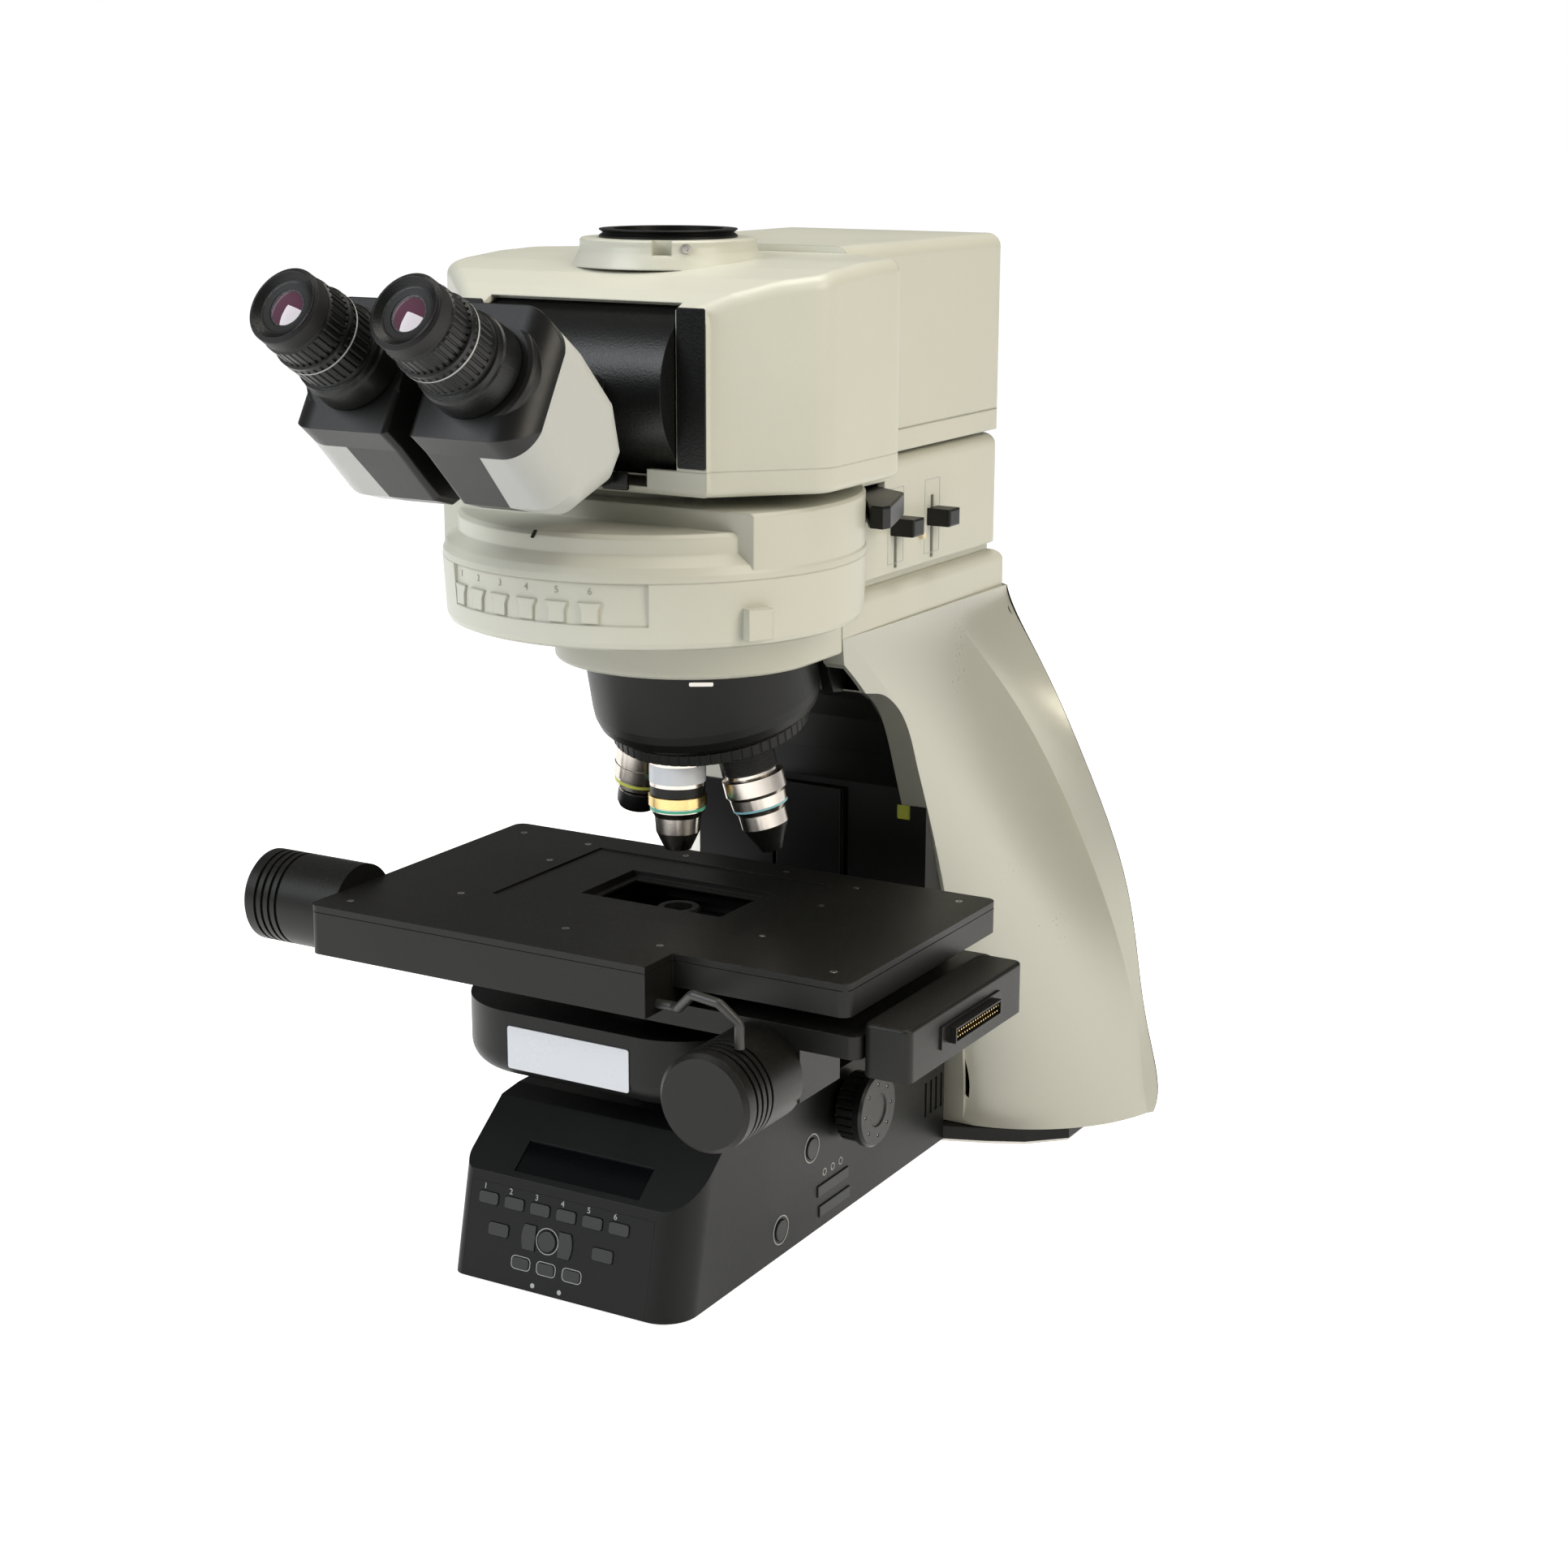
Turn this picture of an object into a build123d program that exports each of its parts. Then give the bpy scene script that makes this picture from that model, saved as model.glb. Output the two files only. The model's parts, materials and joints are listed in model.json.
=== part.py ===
"""Upright fluorescence microscope with a motorised stage, as separate named pieces.

Millimetres, +Z up, the eyepieces towards -Y. Everything is drawn about the optical axis
(x = 0, y = 0, bench at z = 0) and moved by SHIFT when it is written out.
"""
import math
import os

from build123d import *

# The optical axis stands here, so that the origin is under the middle of the whole microscope.
AXIS_X = 21.0
AXIS_Y = -1.0
SHIFT = Location((AXIS_X, AXIS_Y, 0))

GAP = 0.3

# Base
BASE_HALF = 73.5
BASE_TOP = 92.5
BASE_FLOOR = 3.0
FRONT_FOOT_Y = -121.9
FRONT_LEAN = 12.63
FRONT_TOP_Y = -108.2
FRONT_TOP_Z = 61.0
SLOPE_TOP_Y = -70.0
SLOPE_TOP_Z = 90.5
BASE_BACK_Y = 258.0
BASE_SIDE_END_Y = 190.5
BASE_WALL = 5.0
FRONT_CORNER_RIGHT = 19.0
FRONT_CORNER_LEFT = 8.0
FIELD_LENS_R = 22.0

# Control panel, measured on its own leaning face
PANEL_LEFT = -66.0
PANEL_RIGHT = 53.0
PANEL_BOTTOM = 3.5
PANEL_TOP = 57.0
PANEL_THICK = 2.5
KEY_PROUD = 0.9
KEY_DEEP = 5.0
NUMBER_KEY = (12.5, 6.5)
NUMBER_KEY_FIRST = -53.5
NUMBER_KEY_PITCH = 17.0
NUMBER_KEY_V = 48.5
SINGLE_KEY = (13.0, 7.0)
SINGLE_KEY_X = (-45.0, 23.0)
SINGLE_KEY_V = 32.4
CENTRE_KEY_X = -13.0
CENTRE_KEY_R = 5.6
HALF_MOON_OUT = 16.5
FRAMED_KEY_X = (-28.6, -12.0, 4.8)
FRAMED_KEY_V = 17.2
PANEL_LAMP_X = (-19.6, -2.1)
PANEL_LAMP_V = 6.6

# Right side of the base
KNOB_Y = 63.0
KNOB_Z = 69.0
KNOB_R = 22.0
SHAFT_R = 5.0
ROUND_KEY_A = (23.0, 55.0)
ROUND_KEY_B = (-12.0, 18.5)
ROUND_KEY_R = 6.0
BAR_KEY_A = (47.5, 26.0)
BAR_KEY_B = (49.5, 13.2)
BAR_KEY = (36.0, 6.5)

# Arm
ARM_HALF = 75.0
COLUMN_FRONT_Y = 150.0
COLUMN_HALF = 61.7
COLUMN_BACK_Y = 250.0
ARM_HEAD_BOTTOM = 335.0
ARM_HEAD_TOP = 360.5
ARM_CAP_TOP = 366.0
ARM_NOSE_Y = 14.5
ARM_NOSE_R = 74.5
COVER_TOP = 343.5
COVER_BOTTOM = 12.0
COVER_SKIN = 3.0
COVER_INSIDE = 62.0

# Filter turret and illuminator
DRUM_Y = -20.3
DRUM_R = 112.0
DRUM_BOTTOM = 363.5
DRUM_SEAM = 398.0
SHOULDER_TOP = 410.0
BOSS_R = 104.5
BOSS_TOP = 421.0
REAR_WALL_TOP = 431.0
CAROUSEL_Y = -45.0
CUBE_ORBIT = 45.0
CUBE = 30.0
LAMP_BOTTOM = 372.0
LAMP_TOP = 437.0
LAMP_BACK_Y = 255.0
SLOT_Y = (113.0, 158.0)
SLOT_Z = 398.5

# Head
HEAD_BOTTOM = 438.0
HEAD_SEAM = 451.0
HEAD_FRONT_Y = -90.0
HEAD_BACK_Y = 54.7
REAR_BOX_TOP = 555.0
REAR_BOX_BACK_Y = 250.0
BULGE_HALF = 118.0
PORT_Y = -5.0
PORT_FLANGE_R = 46.5
PORT_FLANGE_TOP = 560.5
PORT_TOP = 565.0
PORT_BORE_R = 30.0
TILT_Y = -58.0
TILT_Z = 490.0
TILT_R = 46.0
TILT_HALF = 57.0

# Binocular
TUBE_LEAN = 30.5
EYE_Y = -274.0
EYE_Z = 540.5
EYE_X = 34.15
POD_R = 34.0
POD_INNER = 27.4
EYEPIECE_R = 18.5
SLEEVE_R = 15.0

# Nosepiece
TURRET_LEAN = 14.5
TURRET_ORBIT = 38.0
SHOULDER_Z = 279.0
NOSE_HOUSING_R = 64.0
THREAD_R = 12.5
PLACES = 6

# Stage
STAGE_TOP = 199.0
COVER_PLATE = 3.7
SLAB_BOTTOM = 181.0
STAGE_LEFT = -168.0
STAGE_RIGHT = 157.0
STAGE_BACK = 84.0
STAGE_FRONT_RIGHT = -90.0
STAGE_FRONT_LEFT = -117.0
STAGE_STEP_X = 53.0
STAGE_STEP_Y = -60.0
RECESS = (-93.0, 67.0, -48.5, 61.5)
RECESS_DEEP = 5.5
OPENING = (-84.0, 58.0, -34.0, 47.0)
DRIVE_BOTTOM = 170.8
SCREW_X_Y = -70.0
SCREW_X_Z = 183.5
MOTOR_R = 26.5
MOTOR_LEFT_END = -235.0
MIDDLE_BOTTOM = 169.8
PLATE_BOTTOM = 157.0
PLATE_TOP = 169.4
MOTOR_Y_X = 101.5
MOTOR_Y_Z = 141.0
MOTOR_Y_END = -140.0
BOX = (160.0, 187.0, -80.0, 55.0, 148.0, 176.5)
CONNECTOR_Y = -11.0
CONNECTOR_Z = 162.5

# Substage
HOUSING_LEFT = -103.0
HOUSING_RIGHT = 73.0
HOUSING_FRONT = -87.0
HOUSING_BACK = 62.0
HOUSING_BOTTOM = 107.0
HOUSING_TOP = 147.0
HOUSING_CORNER = 45.0
LENS_TOP = STAGE_TOP - RECESS_DEEP - 0.5


def box(x0, x1, y0, y1, z0, z1):
    """A block between two corners."""
    return Pos((x0 + x1) / 2, (y0 + y1) / 2, (z0 + z1) / 2) * Box(x1 - x0, y1 - y0, z1 - z0)


def post(x, y, z0, z1, r):
    """An upright cylinder."""
    return Pos(x, y, (z0 + z1) / 2) * Cylinder(r, z1 - z0)


def rod_x(x0, x1, y, z, r):
    """A cylinder along X."""
    return Pos((x0 + x1) / 2, y, z) * Rot(0, 90, 0) * Cylinder(r, x1 - x0)


def rod_y(y0, y1, x, z, r):
    """A cylinder along Y."""
    return Pos(x, (y0 + y1) / 2, z) * Rot(90, 0, 0) * Cylinder(r, y1 - y0)


def side_shape(points, x0, x1):
    """An outline drawn in the YZ plane, pulled from x0 to x1."""
    outline = make_face(Polyline([(0, y, z) for y, z in points], close=True))
    return Pos(x0, 0, 0) * extrude(outline, amount=x1 - x0, dir=(1, 0, 0))


def plan_shape(points, z0, z1):
    """An outline drawn in the XY plane, raised from z0 to z1."""
    outline = make_face(Polyline([(x, y, z0) for x, y in points], close=True))
    return extrude(outline, amount=z1 - z0, dir=(0, 0, 1))


def turned(profile):
    """A profile of (radius, height) pairs turned about Z."""
    outline = make_face(Polyline([(r, 0, h) for r, h in profile], close=True))
    return revolve(outline, Axis.Z, 360)


def ring(cutter, count, r, z=0.0):
    """The same cutter repeated on a circle."""
    return [Rot(0, 0, 360 / count * k) * Pos(r, 0, z) * cutter for k in range(count)]


def mirrored(part):
    return mirror(part, Plane.YZ)


def upright_edges(part, picks):
    """The vertical edges of a part at given plan positions."""
    return [e for e in part.edges().filter_by(Axis.Z)
            if any(math.hypot(e.center().X - x, e.center().Y - y) < 1.0 for x, y in picks)]


def rounded(part, edges, *radii):
    """The largest of the given roundings that the solid takes."""
    for r in radii:
        try:
            result = fillet(edges, r)
            if result.is_valid and abs(result.volume) > 0.5 * abs(part.volume):
                return result
        except Exception:
            continue
    print("no rounding taken", radii)
    return part


def biggest(part):
    """The main solid of a part, without the slivers that a cut can leave."""
    return Part() + part.solids().sort_by(lambda s: s.volume)[-1]


PARTS = {}


def keep(name, part):
    """Stores one named piece."""
    PARTS[name] = part


# Frames of the leaning faces
PANEL = Plane(origin=(0, FRONT_FOOT_Y, 0), x_dir=(1, 0, 0),
              z_dir=(0, -math.cos(math.radians(FRONT_LEAN)), math.sin(math.radians(FRONT_LEAN))))
SLOPE_ANGLE = math.atan2(SLOPE_TOP_Z - FRONT_TOP_Z, SLOPE_TOP_Y - FRONT_TOP_Y)
SLOPE = Plane(origin=(0, FRONT_TOP_Y, FRONT_TOP_Z), x_dir=(1, 0, 0),
              z_dir=(0, -math.sin(SLOPE_ANGLE), math.cos(SLOPE_ANGLE)))
TURRET_SIN = math.sin(math.radians(TURRET_LEAN))
TURRET_COS = math.cos(math.radians(TURRET_LEAN))
TURRET = Plane(origin=(0, TURRET_ORBIT * TURRET_COS, SHOULDER_Z + TURRET_ORBIT * TURRET_SIN),
               x_dir=(1, 0, 0), z_dir=(0, -TURRET_SIN, TURRET_COS))


def flat_block(u0, u1, v0, v1, n0, n1, corner=0.0):
    """A block in a face's own coordinates, with rounded corners if asked."""
    block = Pos((u0 + u1) / 2, (v0 + v1) / 2, (n0 + n1) / 2) * Box(u1 - u0, v1 - v0, n1 - n0)
    if corner:
        block = fillet(block.edges().filter_by(Axis.Z), corner)
    return block


# Base casting: sloping front, flat top, hollow inside, low wings under the side covers
def base_outline(inset, bottom):
    lean = math.tan(math.radians(FRONT_LEAN))
    return [(FRONT_FOOT_Y + inset + bottom * lean, bottom),
            (FRONT_TOP_Y + inset, FRONT_TOP_Z - 0.6 * inset),
            (SLOPE_TOP_Y + 0.6 * inset, SLOPE_TOP_Z - inset),
            (SLOPE_TOP_Y + 16, BASE_TOP - inset),
            (BASE_BACK_Y - inset, BASE_TOP - inset),
            (BASE_BACK_Y - inset, bottom)]


def wing(inset, z0, z1):
    """The low foot that spreads out under one side cover."""
    points = [(COLUMN_HALF - inset, BASE_SIDE_END_Y + inset), (BASE_HALF, BASE_SIDE_END_Y + inset),
              (98, 200 + inset), (120, 211 + inset), (141 - inset, 231 + inset), (141 - inset, 266 - inset),
              (COLUMN_HALF - inset, 266 - inset)]
    return plan_shape(points, z0, z1)


base = side_shape(base_outline(0, BASE_FLOOR), -BASE_HALF, BASE_HALF)
front_corners = [e for e in base.edges() if abs(abs(e.center().X) - BASE_HALF) < 0.1 and e.center().Z < 60
                 and e.center().Y < -100 and e.length > 40]
for edge in front_corners:
    side_r = FRONT_CORNER_RIGHT if edge.center().X > 0 else FRONT_CORNER_LEFT
    target = [e for e in base.edges() if (e.center() - edge.center()).length < 0.1]
    base = rounded(base, target, side_r)
base -= box(COLUMN_HALF, 90, BASE_SIDE_END_Y, 300, 0, 100)
base -= box(-90, -COLUMN_HALF, BASE_SIDE_END_Y, 300, 0, 100)
base += wing(0, BASE_FLOOR, COVER_BOTTOM - 0.5)
base += mirrored(wing(0, BASE_FLOOR, COVER_BOTTOM - 0.5))
hollow = side_shape(base_outline(BASE_WALL, BASE_FLOOR - 1), -BASE_HALF + BASE_WALL, BASE_HALF - BASE_WALL)
hollow -= box(COLUMN_HALF - BASE_WALL, 90, BASE_SIDE_END_Y - BASE_WALL, 300, 0, 100)
hollow -= box(-90, -COLUMN_HALF + BASE_WALL, BASE_SIDE_END_Y - BASE_WALL, 300, 0, 100)
for side, outer_r in ((1, FRONT_CORNER_RIGHT), (-1, FRONT_CORNER_LEFT)):
    inner_corner = [e for e in hollow.edges() if abs(e.center().X - side * (BASE_HALF - BASE_WALL)) < 0.1
                    and e.center().Z < 60 and e.center().Y < -95 and e.length > 40]
    hollow = rounded(hollow, inner_corner, outer_r - BASE_WALL)
base -= hollow
base -= PANEL * flat_block(PANEL_LEFT, PANEL_RIGHT, PANEL_BOTTOM, PANEL_TOP, -PANEL_THICK, 3)
base -= PANEL * flat_block(PANEL_LEFT + 3, PANEL_RIGHT - 3, PANEL_BOTTOM + 1.2, PANEL_TOP - 3, -14, 0)
base -= SLOPE * flat_block(-41, 40, 4, 24, -2.4, 2)
base -= SLOPE * flat_block(-36, 35, 7, 21, -9, 0)
base -= post(0, 0, BASE_TOP - BASE_WALL - 1, BASE_TOP + 1, FIELD_LENS_R + 2)
base -= rod_x(-90, 90, KNOB_Y, KNOB_Z, SHAFT_R + 0.06)
for y, z in (ROUND_KEY_A, ROUND_KEY_B):
    base -= rod_x(BASE_HALF - 10, 90, y, z, ROUND_KEY_R + GAP)
for y, z in (BAR_KEY_A, BAR_KEY_B):
    base -= box(BASE_HALF - 10, 90, y - BAR_KEY[0] / 2 - GAP, y + BAR_KEY[0] / 2 + GAP,
                z - BAR_KEY[1] / 2 - GAP, z + BAR_KEY[1] / 2 + GAP)
for k in range(5):
    base -= box(BASE_HALF - 1.2, 90, 164 + 7 * k, 167 + 7 * k, 26, 48)
for x in (-48, 48):
    for y in (165, 240):
        base += post(x, y, BASE_FLOOR, BASE_TOP - 2, 6) - post(x, y, 0, 16, 2.2)

floor_plate = plan_shape([(-64, -112), (64, -112), (68, -104), (68, 190), (56, 190), (56, 252), (-56, 252),
                          (-56, 190), (-68, 190), (-68, -104)], 1.2, BASE_FLOOR)
wing_floor = wing(1.0, 1.2, BASE_FLOOR) - box(-56, 56, 150, 300, 0, 5)
floor_plate += wing_floor + mirrored(wing_floor)
for k in range(9):
    floor_plate -= box(-30, 30, -60 + 9 * k, -56 + 9 * k, 0, 5)
for x in (-48, 48):
    for y in (165, 240):
        floor_plate -= post(x, y, 0, 5, 2.6)
feet = [post(x, y, 0, 1.2, 9) for x, y in ((-52, -98), (52, -98), (-124, 246), (124, 246), (0, 235))]
keep("floor_plate_with_feet", Compound([floor_plate] + feet))

# Control panel with its openings
panel = flat_block(PANEL_LEFT + 0.1, PANEL_RIGHT - 0.1, PANEL_BOTTOM + 0.1, PANEL_TOP - 0.1, -PANEL_THICK, 0)


def key_outline(kind, grow=0.0):
    """Front outlines of the panel keys: (x, v, sketch)."""
    shapes = {}
    for k in range(6):
        shapes[f"number_key_{k + 1}"] = (NUMBER_KEY_FIRST + NUMBER_KEY_PITCH * k, NUMBER_KEY_V,
                                         RectangleRounded(NUMBER_KEY[0] + 2 * grow, NUMBER_KEY[1] + 2 * grow, 1.6))
    for name, x in zip(("brightness_key", "home_key"), SINGLE_KEY_X):
        shapes[name] = (x, SINGLE_KEY_V, RectangleRounded(SINGLE_KEY[0] + 2 * grow, SINGLE_KEY[1] + 2 * grow, 1.6))
    shapes["centre_key"] = (CENTRE_KEY_X, SINGLE_KEY_V, Circle(CENTRE_KEY_R + grow))
    moon = Circle(HALF_MOON_OUT + grow) & (Pos(12.2, 0) * Rectangle(9.2 + 2 * grow, 14 + 2 * grow))
    moon = moon - Circle(CENTRE_KEY_R + 1.8 - grow)
    shapes["right_moon_key"] = (CENTRE_KEY_X, SINGLE_KEY_V, moon)
    shapes["left_moon_key"] = (CENTRE_KEY_X, SINGLE_KEY_V, Rot(0, 0, 180) * moon)
    for k, x in enumerate(FRAMED_KEY_X):
        shapes[("left", "middle", "right")[k] + "_path_key"] = (
            x, FRAMED_KEY_V, RectangleRounded(11 + 2 * grow, 6 + 2 * grow, 2.0))
    return shapes[kind]


PANEL_KEYS = [f"number_key_{k + 1}" for k in range(6)] + [
    "brightness_key", "home_key", "centre_key", "left_moon_key", "right_moon_key",
    "left_path_key", "middle_path_key", "right_path_key"]
for name in PANEL_KEYS:
    x, v, sketch = key_outline(name, GAP)
    panel -= Pos(x, v, -PANEL_THICK - 1) * extrude(sketch, amount=PANEL_THICK + 3)
    x, v, sketch = key_outline(name)
    cap = Pos(x, v, -KEY_DEEP) * extrude(sketch, amount=KEY_DEEP + KEY_PROUD)
    cap = rounded(cap, cap.faces().sort_by(Axis.Z)[-1].edges(), 0.35)
    x, v, sketch = key_outline(name, 1.0 if "moon" not in name and name != "centre_key" else 0.7)
    cap += Pos(x, v, -PANEL_THICK - 1) * extrude(sketch, amount=1.0)
    keep(name, PANEL * cap)
for x in PANEL_LAMP_X:
    panel -= Pos(x, PANEL_LAMP_V, -2) * Cylinder(1.5, 12)
keep("control_panel", PANEL * panel)
keep("display_window", SLOPE * flat_block(-40.9, 39.9, 4.1, 23.9, -2.4, -0.8))

# Side keys
for name, (y, z) in (("round_key_upper", ROUND_KEY_A), ("round_key_lower", ROUND_KEY_B)):
    cap = rod_x(BASE_HALF - 8, BASE_HALF + KEY_PROUD, y, z, ROUND_KEY_R)
    cap = rounded(cap, cap.faces().sort_by(Axis.X)[-1].edges(), 0.4)
    cap += rod_x(BASE_HALF - BASE_WALL - 1.2, BASE_HALF - BASE_WALL, y, z, ROUND_KEY_R + 1)
    keep(name, cap)
for name, (y, z) in (("bar_key_upper", BAR_KEY_A), ("bar_key_lower", BAR_KEY_B)):
    cap = box(BASE_HALF - 8, BASE_HALF + KEY_PROUD, y - BAR_KEY[0] / 2, y + BAR_KEY[0] / 2,
              z - BAR_KEY[1] / 2, z + BAR_KEY[1] / 2)
    cap = rounded(cap, cap.faces().sort_by(Axis.X)[-1].edges(), 0.5)
    cap += box(BASE_HALF - BASE_WALL - 1.2, BASE_HALF - BASE_WALL, y - BAR_KEY[0] / 2 - 1, y + BAR_KEY[0] / 2 + 1,
               z - BAR_KEY[1] / 2 - 1, z + BAR_KEY[1] / 2 + 1)
    keep(name, cap)

# Focus knobs on one shaft
knob = turned([(0, 0.6), (14, 0.6), (14, 3.6), (19.5, 3.6), (20.3, 4.4), (20.3, 14.4), (19.5, 15.2), (KNOB_R, 15.8),
               (KNOB_R, 19.6), (KNOB_R - 1.4, 21.2), (10, 21.2), (9.5, 20.4), (0, 20.4)])
for cutter in ring(Cylinder(0.9, 10.6), 24, 20.4, 9.4):
    knob -= cutter
for cutter in ring(Cylinder(1.1, 1.2), 8, 15.5, 21.2):
    knob -= cutter
knob -= Cylinder(SHAFT_R, 40) & Pos(0, 0, 8) * Box(20, 20, 12)
knob_right = Pos(BASE_HALF, KNOB_Y, KNOB_Z) * Rot(0, 90, 0) * knob
knob_right -= rod_x(BASE_HALF, BASE_HALF + 14, KNOB_Y, KNOB_Z, SHAFT_R)
keep("focus_knobs", Compound([knob_right, mirrored(knob_right)]))
shaft = rod_x(-BASE_HALF - 14, BASE_HALF + 14, KNOB_Y, KNOB_Z, SHAFT_R)
shaft += rod_x(24, 27, KNOB_Y, KNOB_Z, 17)
shaft += rod_x(20, 24, KNOB_Y, KNOB_Z, 8)
keep("focus_shaft", shaft)

# Field lens in the top of the base
lens_ring = turned([(FIELD_LENS_R - 4, BASE_TOP - 4), (FIELD_LENS_R + 4, BASE_TOP - 4), (FIELD_LENS_R + 4, BASE_TOP + 2),
                    (FIELD_LENS_R + 2.6, BASE_TOP + 4), (FIELD_LENS_R, BASE_TOP + 4), (FIELD_LENS_R, BASE_TOP - 2),
                    (FIELD_LENS_R - 4, BASE_TOP - 2)])
base += lens_ring
keep("base_casting", base)
keep("field_lens", turned([(0, BASE_TOP - 2), (FIELD_LENS_R, BASE_TOP - 2), (FIELD_LENS_R, BASE_TOP + 0.6),
                           (FIELD_LENS_R * 0.7, BASE_TOP + 2.1), (FIELD_LENS_R * 0.36, BASE_TOP + 2.8),
                           (0, BASE_TOP + 3.1)]))

# Arm: the side covers are lofted through plan sections taken up the arm
# Each row: height, front y, front half width, crease y, crease half width, back y, back half width
ARM_SECTIONS = [
    (12.0, 198.0, 83.0, 274.0, 175.5, 277.0, 178.0),
    (68.0, 199.0, 82.2, 271.0, 168.0, 275.0, 173.0),
    (122.0, 188.0, 81.2, 266.0, 156.0, 272.0, 164.5),
    (178.0, 171.0, 80.0, 259.0, 137.0, 268.0, 153.0),
    (214.0, 156.5, 79.2, 254.0, 122.0, 265.0, 140.0),
    (266.0, 132.0, 77.6, 238.0, 100.0, 259.0, 118.0),
    (300.0, 108.0, 76.2, 216.0, 87.0, 257.0, 100.0),
    (COVER_TOP, 58.0, ARM_HALF, 181.0, 76.5, 255.0, 78.0)]
# The front edge of the covers seen from the side, from the nose down to the bench
COVER_FRONT = [(52.0, COVER_TOP), (53.0, 333.0), (61.0, 316.5), (78.0, 308.5), (95.0, 305.0), (117.0, 291.5),
               (137.0, 257.0), (155.5, 214.0), (173.5, 167.0), (188.5, 110.0), (198.5, 52.0), (199.0, COVER_BOTTOM)]


def arm_section(row, skin, back_trim=0.0):
    """Half of the arm's outline at one height, with its bulging flank, as a closed face."""
    z, yf, xf, yc, xc, yb, xb = row
    front_y = yf - 22
    swell = max(0.6, 17.6 * (xc - 80.0) / 95.0)
    dx, dy = xc - xf, yc - yf
    length = math.hypot(dx, dy)
    mid = ((xf + xc) / 2 + dy / length * swell, (yf + yc) / 2 - dx / length * swell)
    a, b = (xf - skin, front_y, z), (xf - skin, yf, z)
    c, d = (xc - skin, yc + skin * 0.4, z), (xb - skin, yb - back_trim, z)
    m = (mid[0] - skin, mid[1] + skin * 0.4, z)
    inner = COVER_INSIDE - 1
    lines = [Line(a, b), ThreePointArc(b, m, c), Line(c, d), Line(d, (inner, yb - back_trim, z)),
             Line((inner, yb - back_trim, z), (inner, front_y, z)), Line((inner, front_y, z), a)]
    return make_face(Wire(lines))


def inner_section(row):
    """The same outline for the hollow of a cover, drawn with straight flanks."""
    z, yf, xf, yc, xc, yb, xb = row
    inner = COVER_INSIDE - 1
    points = [(xf - COVER_SKIN, yf - 22), (xf - COVER_SKIN, yf), (xc - COVER_SKIN - 2, yc),
              (xb - COVER_SKIN - 1, yb - 2), (inner, yb - 2), (inner, yf - 22)]
    return make_face(Polyline([(x, y, z) for x, y in points], close=True))


def cover_side_solid(extra, x0, x1):
    front = Spline([(0, y + extra, z) for y, z in COVER_FRONT[1:]])
    first = COVER_FRONT[0]
    last = COVER_FRONT[-1]
    outline = make_face(Wire([
        Line((0, first[0] + extra, first[1]), front @ 0), front,
        Line(front @ 1, (0, 330, last[1])), Line((0, 330, last[1]), (0, 330, COVER_TOP)),
        Line((0, 330, COVER_TOP), (0, first[0] + extra, first[1]))]))
    return Pos(x0, 0, 0) * extrude(outline, amount=x1 - x0, dir=(1, 0, 0))


outside = loft([arm_section(row, 0.0) for row in ARM_SECTIONS])
inside = loft([inner_section(row) for row in ARM_SECTIONS], ruled=True)
side_cover = (outside & cover_side_solid(0.0, COVER_INSIDE, 190))
side_cover -= inside & cover_side_solid(COVER_SKIN, 0, 190) & box(0, 190, 0, 300, COVER_BOTTOM + 2, COVER_TOP - 2)
keep("right_side_cover", side_cover)
keep("left_side_cover", mirrored(side_cover))

# Column between the covers, with the black front that the stage travels along
core = side_shape([(COLUMN_FRONT_Y, BASE_TOP), (COLUMN_FRONT_Y, 236), (140, 257), (126, 281), (110, 297), (92, 306),
                   (66, 310), (60, 322), (60, ARM_HEAD_BOTTOM), (COLUMN_BACK_Y, ARM_HEAD_BOTTOM),
                   (COLUMN_BACK_Y, BASE_TOP)], -COLUMN_HALF, COLUMN_HALF)
core -= side_shape([(COLUMN_FRONT_Y + 12, BASE_TOP + 6), (COLUMN_FRONT_Y + 12, 240), (146, 268), (126, 292),
                    (126, ARM_HEAD_BOTTOM - 8), (COLUMN_BACK_Y - 8, ARM_HEAD_BOTTOM - 8),
                    (COLUMN_BACK_Y - 8, BASE_TOP + 6)], -COLUMN_HALF + 9, COLUMN_HALF - 9)
cheek = side_shape([(COLUMN_FRONT_Y, BASE_TOP), (COLUMN_FRONT_Y, 226), (150.5, 224), (172.5, 167), (187.5, 110),
                    (191, BASE_TOP)], COLUMN_HALF, 78.5)
core += cheek + mirrored(cheek)
core -= box(-26, 26, COLUMN_FRONT_Y - 1, COLUMN_FRONT_Y + 3, 100, 232)
core -= box(58.8, 67.8, COLUMN_FRONT_Y - 1, COLUMN_FRONT_Y + 2, 216.9, 225.9)
rail = box(-22, 22, COLUMN_FRONT_Y - 3, COLUMN_FRONT_Y + 3, 101, 231)
rail -= box(-22, -15, COLUMN_FRONT_Y - 2, COLUMN_FRONT_Y + 0.5, 100, 232)
rail -= box(15, 22, COLUMN_FRONT_Y - 2, COLUMN_FRONT_Y + 0.5, 100, 232)
core -= TURRET * post(0, 0, -30, 80, NOSE_HOUSING_R + 0.05)
keep("column", core + rail)

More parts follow.
